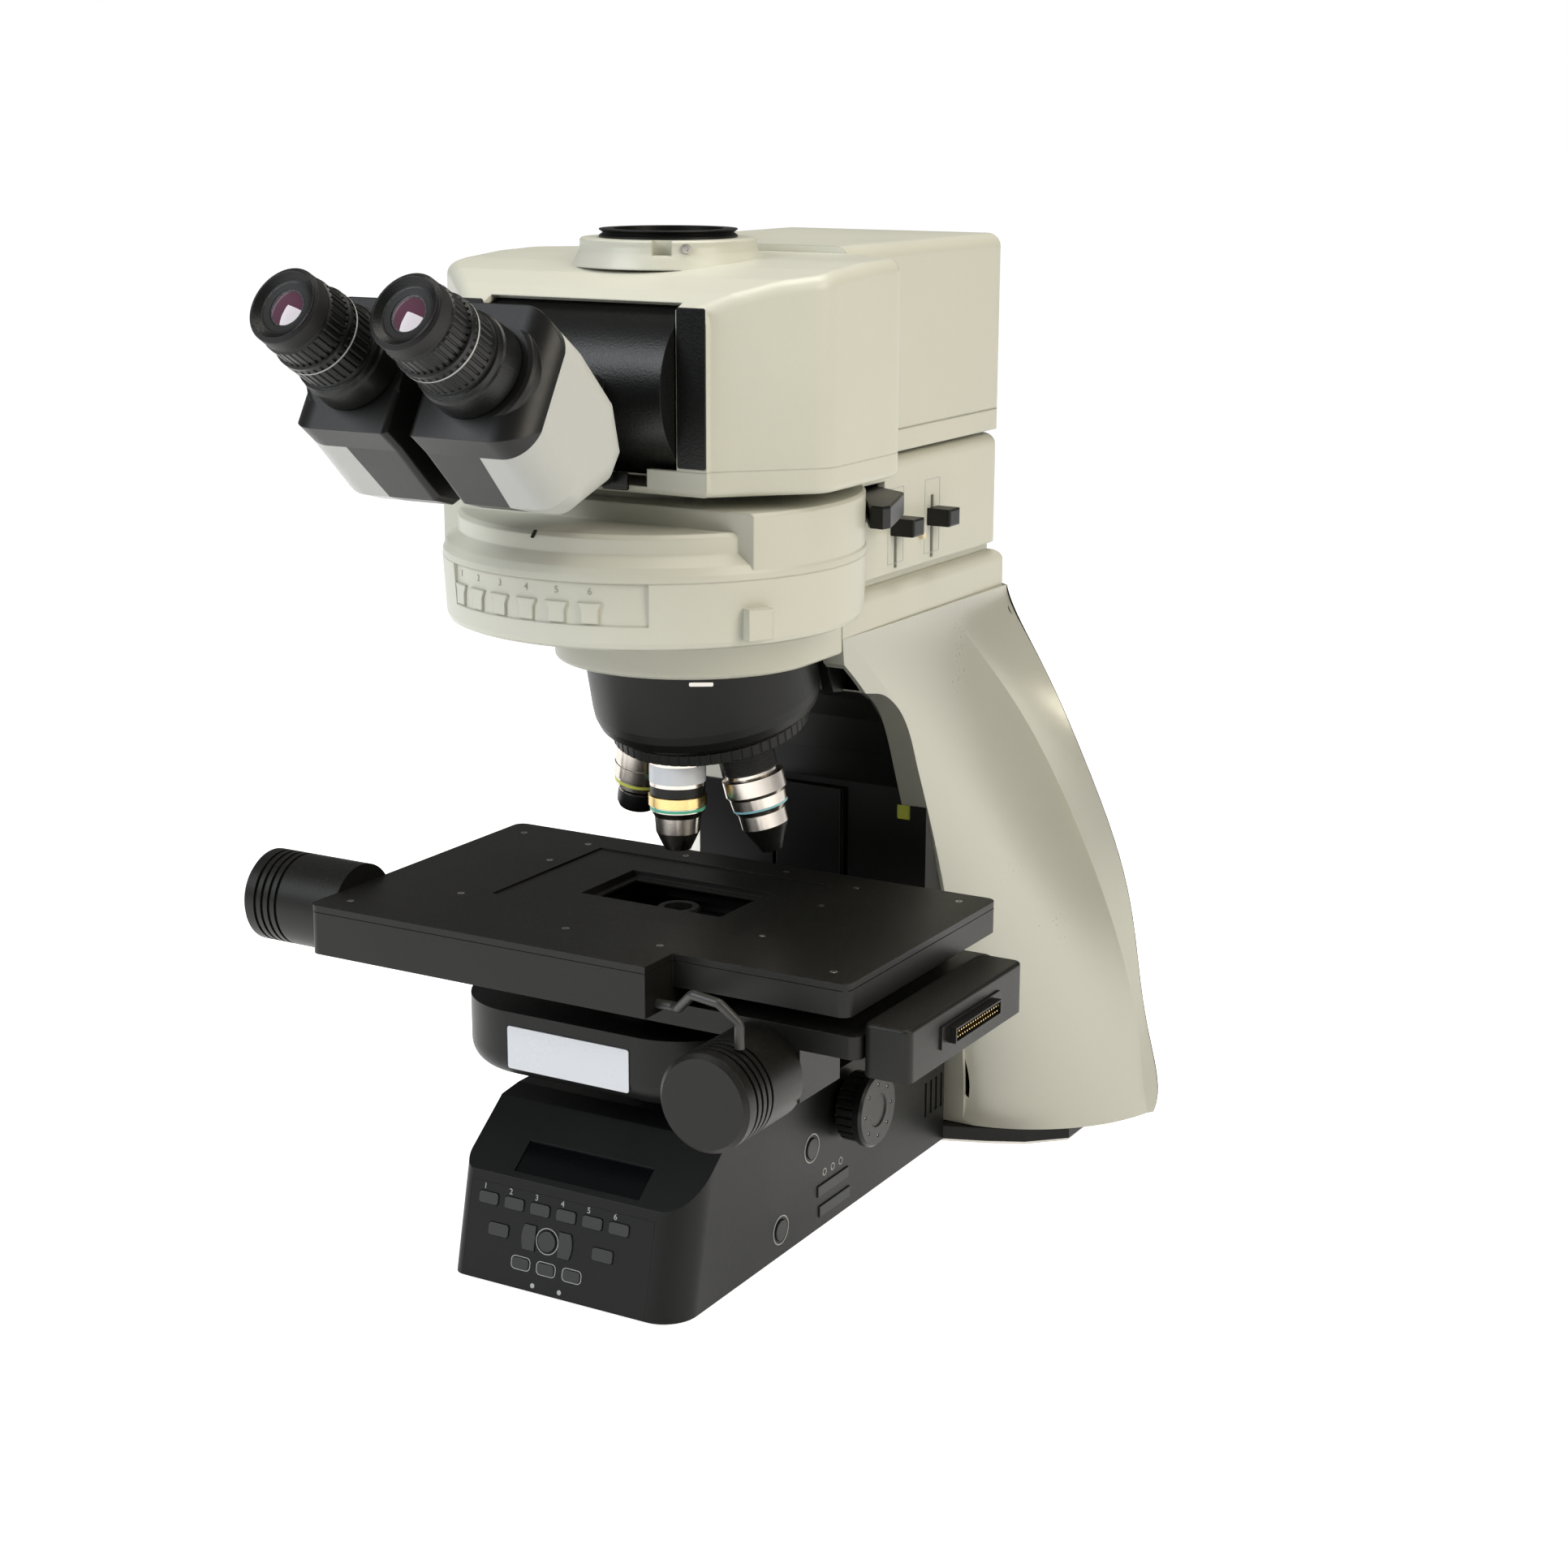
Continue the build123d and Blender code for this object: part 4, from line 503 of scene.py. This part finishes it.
# %% Printing beside the side keys
BASE_HALF = 73.5
ROUND_KEYS = ((23.0, 55.0), (-12.0, 18.5))
MARK_Y, MARK_HEIGHT = (38.0, 47.5, 57.0), 35.5
KNOB_Y, KNOB_HEIGHT, KNOB_LENGTH, DOT_CIRCLE, DOTS = 63, 69, 20.6, 15.5, 8


def on_side(y, height, out=0.0):
    """A frame on the base's right side, facing +X, moved out by a distance."""
    return face_frame((BASE_HALF + out, y, height), (1, 0, 0), (0, 1, 0))


for k, (y, height) in enumerate(ROUND_KEYS):
    turned(f"side_key_ring_{k + 1}", [(8.6, 0), (8.6, 0.15), (7.9, 0.15), (7.9, 0)], on_side(y, height),
           print_white, "stand", 48)
for k, y in enumerate(MARK_Y):
    turned(f"focus_mark_{k + 1}", [(2.3, 0), (2.3, 0.12), (1.6, 0.12), (1.6, 0)], on_side(y, MARK_HEIGHT),
           print_white, "stand", 24)
for k in range(DOTS):
    a = 2 * np.pi * k / DOTS
    dot = on_side(KNOB_Y + DOT_CIRCLE * np.cos(a), KNOB_HEIGHT + DOT_CIRCLE * np.sin(a), KNOB_LENGTH)
    turned(f"knob_dot_{k + 1}", [(0, 0.45), (0.5, 0.4), (0.8, 0), (0, 0)], dot, print_white, "focus_drive",
           12)
print("rings", len(ROUND_KEYS), "marks", len(MARK_Y), "dots", DOTS)

# %% [markdown]
# A name plate was glued to the front of the condenser housing. It stays as a bare white plate with
# its rounded corners and a thin edge, held flat on the curved front.

# %% Plates left bare
HOUSING_FRONT_Y = -87.0
PLATE_WIDE, PLATE_HIGH, PLATE_THICK, PLATE_MIDDLE = 79, 24.5, 0.7, (-16.6, 126.9)
FRONT = face_frame((0, HOUSING_FRONT_Y, 0), (0, -1, 0), (1, 0, 0))
plate("condenser_plate", rounded_outline(PLATE_WIDE, PLATE_HIGH, 1.5, PLATE_MIDDLE), 0.0, PLATE_THICK, FRONT,
      label_white, "stage_carrier", bevel=0.2)
print("bare plate", PLATE_WIDE, "by", PLATE_HIGH, "mm")

# %% [markdown]
# The binocular's drum is set in a black face. Its cheeks are thin plates beside the drum's opening,
# and a small black stop block hangs under it. On the column, a signal lamp shines through a small
# yellow-green window.

# %% Black cheeks, stop block and lamp window
HEAD_FRONT_Y, COLUMN_FRONT_Y = -90.0, 150.0
HEAD_FRONT = face_frame((0, HEAD_FRONT_Y, 0), (0, -1, 0), (1, 0, 0))
for label, side in (("right", 1), ("left", -1)):
    plate(f"{label}_face_cheek", rounded_outline(16.6, 79, 1.2, (side * 66.6, 492)), 0.0, 0.8, HEAD_FRONT,
          moulded, "stand", bevel=0.3)
plate("stop_block", rounded_outline(15, 9, 1.0, (22, 444)), 0.0, 2.5, HEAD_FRONT, moulded, "stand",
      bevel=0.4)
COLUMN_FRONT = face_frame((0, COLUMN_FRONT_Y, 0), (0, -1, 0), (1, 0, 0))
plate("lamp_window", rounded_outline(8.8, 8.8, 1.0, (63.3, 221.4)), -1.9, -0.4, COLUMN_FRONT, lamp_glow,
      "stand", bevel=0.2)
print("head front at", HEAD_FRONT_Y, "mm, column front at", COLUMN_FRONT_Y, "mm")

# %% [markdown]
# Two label plates stand around the slots of the illuminator's slides. They are bare, and each has a
# thin pale line around it. Beside the second one sits a small ivory locking pin. Three more small
# parts follow: the camera port's clamp screw, the turret's index mark and the nosepiece's stop tab.

# %% Label plates and small parts of the arm
ARM_HALF = 75.0
SLIDE_Y, SLIDE_HEIGHT = (113, 158), 398.5
LAMP_SIDE = face_frame((ARM_HALF, 0, 0), (1, 0, 0), (0, 1, 0))
for k, y in enumerate(SLIDE_Y):
    middle = (y, SLIDE_HEIGHT)
    outer, inner = rounded_outline(19, 43, 1.0, middle), rounded_outline(18.2, 42.2, 0.8, middle)
    frame_plate(f"slide_label_{k + 1}", outer, inner, 0, 0.15, LAMP_SIDE, print_white, "stand")
pin_face = face_frame((ARM_HALF, 143, 389), (1, 0, 0), (0, 1, 0))
turned("ivory_pin", [(0, 3.4), (1.6, 3.3), (2.0, 2.8), (2.0, 0), (0, 0)], pin_face, ivory, "stand",
       24)
port_screw = face_frame((31.8, -38.8, 556.6), (0.67, -0.75, 0), (0, 0, 1))
turned("port_clamp_screw", [(0, 1.2), (1.2, 1.2), (1.2, 1.9), (2.3, 1.8), (2.5, 1.4), (2.5, 0), (0, 0)],
       port_screw, steel, "stand", 24)
COVER_MARK = face_frame((-5.2, -124.5, 419.2), (-0.02, -0.72, 0.70), (1, 0, 0))
plate("turret_index_mark", rounded_outline(2.2, 5.0, 0.6), 0.0, 0.25, COVER_MARK, key_grey, "stand")
NOSE_TAB = face_frame((34.0, -29.7, 329.1), (0.53, -0.82, -0.21), (0, 0, 1))
plate("nosepiece_stop_tab", rounded_outline(2.6, 13, 0.8), -0.4, 0.5, NOSE_TAB, steel, "stand",
      bevel=0.2)
print("slide labels", len(SLIDE_Y))

# %% [markdown]
# Small flat screws hold the stage's cover plate, and four more hold the holder's frame. Each head
# is a low dome with a hexagon socket, turned here as a dome with a dip in its middle.

# %% Screws of the stage
STAGE_FACE = 199.0
COVER_SCREWS = [(-108, -57), (-104, 24), (-104, 64), (78, -40), (78, 24), (78, 64), (-40, 72), (28, 72),
                (140, 70), (140, -74), (-152, 66), (-152, -100), (-20, -82), (40, -82)]
for k, (x, y) in enumerate(COVER_SCREWS):
    turned(f"stage_screw_{k + 1}",
           [(0, -0.5), (0.9, -0.5), (0.9, 0.18), (1.7, 0.16), (2.1, 0), (2.1, -0.6), (0, -0.6)],
           face_frame((x, y, STAGE_FACE), (0, 0, 1), (1, 0, 0)), steel, "stage_top", 16)
print("stage screws", len(COVER_SCREWS))

# %% [markdown]
# Filter position window: a shallow frame on the drum with the numbers 1 to 6, and under each number
# a small tab. A point on the drum is an angle and a height, so the pieces bend with the drum.

# %% The filter position window
DRUM_Y = -20.3


def on_drum(angle, height, radius):
    """Points on a cylinder about the drum's axis, angle in degrees from +X."""
    a = np.radians(angle)
    return np.stack([radius * np.cos(a), DRUM_Y + radius * np.sin(a), height + 0 * a], -1)


def curved_plate(name, outline, low, high, material, body, cuts=10):
    """A flat outline of (angle, height) corners, divided along its sides and wrapped on the drum."""
    outline = np.asarray(outline, float)
    t = np.arange(cuts)[:, None, None] / cuts
    nxt = np.roll(outline, -1, 0)
    dense = (outline + t * (nxt - outline)).transpose(1, 0, 2).reshape(-1, 2)
    n = len(dense)
    points = np.vstack([on_drum(dense[:, 0], dense[:, 1], low), on_drum(dense[:, 0], dense[:, 1], high)])
    faces = [*grid_faces(2, n, close_columns=True)[:, ::-1], np.arange(n)[::-1], np.arange(n, 2 * n)]
    return make_piece(name, placed(points, WORLD), faces, material, body, sharp=30)


WINDOW_FROM, WINDOW_STEP, POSITIONS = -121.0, 9.3, 6
TAB_FOOT, TAB_BEND, TAB_TOP, TAB_IN, TAB_OUT = 377.5, 384, 388, 110.9, 112.4
NUMBER_HEIGHT, NUMBER_RADIUS = 393.5, 111.15
for k in range(POSITIONS):
    a = WINDOW_FROM + WINDOW_STEP * k
    tab = [(a - 2.3, TAB_FOOT), (a + 2.3, TAB_FOOT), (a + 2.3, TAB_BEND), (a + 3.3, TAB_TOP),
           (a - 3.3, TAB_TOP), (a - 2.3, TAB_BEND)]
    curved_plate(f"filter_tab_{k + 1}", tab, TAB_IN, TAB_OUT, cream, "stand")
    spot = on_drum(np.array([a]), NUMBER_HEIGHT, NUMBER_RADIUS)[0]
    out = (np.cos(np.radians(a)), np.sin(np.radians(a)), 0)
    figure(f"filter_number_{k + 1}", str(k + 1), 5.0, face_frame(spot, out, (-out[1], out[0], 0)), (0, 0),
           print_soft, "stand")
print("filter positions", POSITIONS)

# %% [markdown]
# On the real binocular a pale shell is clipped over the lower outside of each black arm. The arm's
# solid already has that outline, so the shell is a change of colour along a clean line: pale where
# a point lies past the collar, and outside or below a slanting plane. The mask is worked out from
# object coordinates, which stay with the arm when it slides.

# %% Two-tone finish of the binocular arms
EYE_HALF, SHELL_FROM, SHELL_OUT, SHELL_DOWN = 34.15, 75.0, 17.0, 0.35


def two_tone(name, side):
    """Pale where along > SHELL_FROM and outwards + SHELL_DOWN * down > SHELL_OUT, black elsewhere."""
    material = finish_of(name, (0.5, 0.5, 0.5), 0.36, amount=0.03, grain=0.6, level=0.3, edge=0.8)
    tree = material.node_tree
    face = tube_frame(side * EYE_HALF)
    start = face[3] / 1000 + AXIS
    across = face[0] * side + SHELL_DOWN * face[1]
    place = tree.nodes.new("ShaderNodeTexCoord").outputs["Object"]
    masks = []
    for direction, limit in ((face[2], SHELL_FROM), (across, SHELL_OUT)):
        product = tree.nodes.new("ShaderNodeVectorMath")
        product.operation = "DOT_PRODUCT"
        tree.links.new(place, product.inputs[0])
        product.inputs[1].default_value = direction
        level_at = float(np.dot(direction, start)) + limit / 1000
        masks.append(math_node(tree, "GREATER_THAN", product.outputs["Value"], level_at))
    mix = tree.nodes.new("ShaderNodeMix")
    mix.data_type = "RGBA"
    mix.inputs[6].default_value = (0.006, 0.006, 0.006, 1)
    mix.inputs[7].default_value = (0.50, 0.51, 0.49, 1)
    tree.links.new(math_node(tree, "MULTIPLY", *masks), mix.inputs["Factor"])
    tone = next(n for n in tree.nodes if n.type == "GROUP" and n.node_tree == tone_group)
    tree.links.new(mix.outputs[2], tone.inputs["Colour"])
    return material


for label, side in (("right", 1), ("left", -1)):
    arm_mesh = nodes[f"{label}_eyepiece_arm"].data
    arm_mesh.materials.clear()
    arm_mesh.materials.append(two_tone(f"{label}_arm_finish", side))
    print("two-tone finish", arm_mesh.materials[0].name)

# %% [markdown]
# Each eyepiece has a coated eye lens, a rubber cup that folds outwards, and a white line that
# shows the dioptre setting.

# %% Eyepieces
for label, side in (("right", 1), ("left", -1)):
    eye = tube_frame(side * EYE_HALF)
    eye_body = f"{label}_eyepiece"
    turned(f"{label}_eye_lens", [(0, 2.6), (5, 3.0), (9, 4.2), (9.3, 5.5), (0, 5.5)], eye, lens, eye_body,
           48)
    turned(f"{label}_eye_cup",
           [(9.4, 3.6), (12.5, 2.8), (16.4, 0.9), (17.6, 0.6), (18.7, 1.4), (18.9, 8.8), (18.4, 9.6),
            (9.4, 5.0)],
           eye, rubber, eye_body, 72)
    turned(f"{label}_dioptre_line", [(21.12, 27.6), (21.2, 27.9), (21.2, 28.3), (21.12, 28.6)], eye,
           print_white, eye_body, 72)
print("eyepieces", 2 * EYE_HALF, "mm apart")

# %% [markdown]
# An objective is one turned barrel, and its coloured parts are thin sleeves and rings pushed over
# it: a printed scale, a gilt knurled collar, and the ring that codes its power. Each sleeve follows
# the barrel's own profile a few hundredths of a millimetre outside it, so it can't sink into it.

# %% Sleeves on the objectives
WORKING = face_frame((0, 0, SHOULDER), (0, 0, 1), (1, 0, 0))
SLEEVE_PROUD, SLEEVE_DEEP, PLACE_STEP = 0.07, 0.6, 60


def sleeve(name, place, profile, material):
    """A (radius, height) profile below the shoulder, a little larger than the barrel, closed inside."""
    outer = [(r + SLEEVE_PROUD, h) for r, h in profile]
    (top, start), (tip, end) = profile[0], profile[-1]
    closed = [(top - SLEEVE_DEEP, start), *outer, (tip - SLEEVE_DEEP, end)]
    closed.append(closed[0])
    face = turn_about(WORKING, TURRET, PLACE_STEP * place)
    return turned(name, closed, face, material, "nosepiece", 72)


def front_lens(name, place, r, h):
    """The small domed lens in the tip."""
    dome = [(0, h - 0.5), (r * 0.6, h - 0.3), (r, h + 0.3), (r, h + 0.9), (0, h + 0.9)]
    turned(name, dome, turn_about(WORKING, TURRET, PLACE_STEP * place), lens, "nosepiece", 32)


sleeve("sleeve_20x_scale", 0, [(15.2, -15.3), (15.2, -20.5)], moulded)
sleeve("sleeve_20x_collar", 0, [(15.2, -20.5), (16.2, -20.8), (16.2, -26.4), (15.4, -26.8)], brass)
sleeve("sleeve_20x_power", 0, [(15.4, -27.2), (15.4, -28.9)], green_ring)
sleeve("sleeve_20x_label", 0, [(15.75, -3.0), (15.75, -13.0)], label_white)
sleeve("sleeve_10x_power", -1, [(14.4, -26.0), (14.4, -27.8)], yellow_ring)
sleeve("sleeve_10x_tip", -1, [(11.6, -33.4), (11.6, -41), (10.2, -44)], moulded)
sleeve("sleeve_40x_grip", 1, [(14.85, -0.3), (14.85, -12), (14.3, -12.4)], moulded)
sleeve("sleeve_40x_power", 1, [(15.5, -31.8), (15.4, -33.0)], blue_ring)
sleeve("sleeve_40x_tip", 1, [(13.2, -44), (8, -54), (6, -59)], moulded)
sleeve("sleeve_4x_power", -2, [(14.4, -26.0), (14.4, -27.8)], red_ring)
front_lens("front_lens_10x", -1, 6.6, -44)
front_lens("front_lens_20x", 0, 4.2, -52)
front_lens("front_lens_40x", 1, 3.4, -59)
front_lens("front_lens_4x", -2, 6.6, -44)
RIB_HEIGHTS = np.linspace(-2.0, -10.5, 9)
for k, h in enumerate(RIB_HEIGHTS):
    rib = [(14.9, h), (15.15, h - 0.25), (15.15, h - 0.55), (14.9, h - 0.8)]
    sleeve(f"sleeve_40x_rib_{k + 1}", 1, rib, rubber)
print("ribs on the grip", len(RIB_HEIGHTS))

# %% [markdown]
# The sub-D connector of the stage box has 37 gilt pins in two rows. Pins are repeated many times,
# so each has few faces.

# %% Connector pins
PIN_PITCH, ROW_GAP, PIN_RADIUS, PIN_SIDES = 2.76, 2.84, 0.5, 6
PIN_BACK, PIN_OUT, ROWS = -1.0, 3.6, (19, 18)
CONNECTOR = face_frame((188.2, -11, 162.5), (1, 0, 0), (0, 1, 0))
for row, count in enumerate(ROWS):
    spots = (np.arange(count) - (count - 1) / 2) * PIN_PITCH
    a = np.linspace(0, 2 * np.pi, PIN_SIDES, endpoint=False)
    ring = np.stack([PIN_RADIUS * np.cos(a), PIN_RADIUS * np.sin(a)], -1)
    base = ring[None] + np.stack([spots, np.full(count, (0.5 - row) * ROW_GAP)], -1)[:, None]
    ends = [np.concatenate([base, np.full((count, PIN_SIDES, 1), out)], -1) for out in (PIN_BACK, PIN_OUT)]
    points = np.concatenate(ends, 1).reshape(-1, 3)
    one_pin = [*grid_faces(2, PIN_SIDES, close_columns=True)[:, ::-1], np.arange(PIN_SIDES, 2 * PIN_SIDES)]
    faces = [list(face + 2 * PIN_SIDES * k) for k in range(count) for face in one_pin]
    make_piece(f"connector_pins_{row + 1}", placed(points, CONNECTOR), faces, brass, "stage_carrier")
print("pins", sum(ROWS))

# %% [markdown]
# The studio is a pale floor in white surroundings. The floor is bright only where a ray from the
# camera, or one that metal or glass sends on, meets it. So it looks white, keeps the shadow of the
# object and adds no light to it.

# %% Floor
FLOOR_HALF, FLOOR_CORNERS = 40, ((-1, -1), (1, -1), (1, 1), (-1, 1))
FLOOR_WHITE = 0.9
floor_mesh = bpy.data.meshes.new("floor")
floor_mesh.from_pydata([(x * FLOOR_HALF, y * FLOOR_HALF, 0) for x, y in FLOOR_CORNERS], [], [(0, 1, 2, 3)])
floor = bpy.data.objects.new("floor", floor_mesh)
bpy.context.scene.collection.objects.link(floor)
floor_finish = bpy.data.materials.new("pale_floor")
floor_finish.use_nodes = True
floor_tree = floor_finish.node_tree
floor_shader = floor_tree.nodes["Principled BSDF"]
floor_shader.inputs["Base Color"].default_value = (0.92, 0.92, 0.92, 1)
floor_shader.inputs["Roughness"].default_value = 0.9
floor_shader.inputs["Specular IOR Level"].default_value = 0.1
rays = floor_tree.nodes.new("ShaderNodeLightPath")
seen = math_node(floor_tree, "MAXIMUM", rays.outputs["Is Camera Ray"], rays.outputs["Is Glossy Ray"])
seen = math_node(floor_tree, "MAXIMUM", seen, rays.outputs["Is Transmission Ray"])
floor_shader.inputs["Emission Color"].default_value = (1, 1, 1, 1)
floor_tree.links.new(math_node(floor_tree, "MULTIPLY", seen, FLOOR_WHITE),
                     floor_shader.inputs["Emission Strength"])
floor_mesh.materials.append(floor_finish)
print("floor", 2 * FLOOR_HALF, "m wide")

# %% [markdown]
# The sky is white to the camera in the same way, and otherwise a weak even light that opens the
# shadows.

# %% World
SKY_SEEN, SKY_LIGHT = 0.84, 0.16
world = bpy.data.worlds.new("studio")
bpy.context.scene.world = world
world.use_nodes = True
sky = world.node_tree.nodes["Background"]
sky.inputs["Color"].default_value = (1, 1, 1, 1)
sky_rays = world.node_tree.nodes.new("ShaderNodeLightPath")
sky_seen = math_node(world.node_tree, "MAXIMUM", sky_rays.outputs["Is Camera Ray"],
                     sky_rays.outputs["Is Transmission Ray"])
sky_lit = math_node(world.node_tree, "MULTIPLY", sky_seen, SKY_SEEN)
world.node_tree.links.new(math_node(world.node_tree, "ADD", sky_lit, SKY_LIGHT), sky.inputs["Strength"])
print("sky", SKY_LIGHT, "as light,", SKY_SEEN + SKY_LIGHT, "to the camera")


# %% [markdown]
# Three large soft lamps light the object: a cool one in front on the left, which makes the long
# highlights, a warmer one on the right and one above.

# %% Lamps
def soft_lamp(name, place, target, size, power, colour):
    """An area lamp in metres that looks at a target."""
    light = bpy.data.lights.new(name, "AREA")
    light.shape = "RECTANGLE"
    light.size, light.size_y = size
    light.energy = power
    light.color = colour
    lamp = bpy.data.objects.new(name, light)
    bpy.context.scene.collection.objects.link(lamp)
    z = unit(np.subtract(place, target))
    x = unit(np.cross((0, 0, 1), z))
    turn = np.column_stack([x, np.cross(z, x), z])
    matrix = np.eye(4)
    matrix[:3, :3] = turn
    matrix[:3, 3] = place
    lamp.matrix_world = Matrix(matrix.tolist())
    return lamp


soft_lamp("lamp_front_left", (-0.9, -1.7, 1.5), (0, 0, 0.35), (1.2, 1.2), 34, (0.94, 0.97, 1.0))
soft_lamp("lamp_right", (1.9, -0.2, 1.3), (0, 0, 0.3), (1.0, 1.4), 26, (1.0, 0.93, 0.80))
soft_lamp("lamp_top", (0.2, 0.3, 2.1), (0, 0, 0.4), (1.4, 1.0), 22, (1.0, 0.96, 0.87))
print("lamps", len(bpy.data.lights))

# %% [markdown]
# The camera stands where the photograph was taken from. A pinhole camera was fitted to edges of the
# object that run along the three axes, which gave its place, its direction and its focal length.
# The focal length is the fitted one in picture widths, times the width of the sensor.

# %% Camera
SENSOR_MM, FOCAL_PIXELS, PHOTO_PIXELS = 36.0, 3281, 1932
CAMERA_PLACE = np.array([762.4, -1208.2, 626.7]) / 1000 + AXIS
AZIMUTH, ELEVATION, ROLL = np.radians([29.93, 14.27, -0.15])
camera_data = bpy.data.cameras.new("camera")
camera_data.sensor_fit = "HORIZONTAL"
camera_data.sensor_width = SENSOR_MM
camera_data.lens = SENSOR_MM * FOCAL_PIXELS / PHOTO_PIXELS
camera_data.clip_end = 100
camera = bpy.data.objects.new("camera", camera_data)
bpy.context.scene.collection.objects.link(camera)
camera.location = CAMERA_PLACE
camera.rotation_euler = (np.pi / 2 - ELEVATION, ROLL, AZIMUTH)
bpy.context.scene.camera = camera
bpy.context.scene.view_settings.view_transform = "Standard"
print("lens", round(camera_data.lens, 2), "mm")
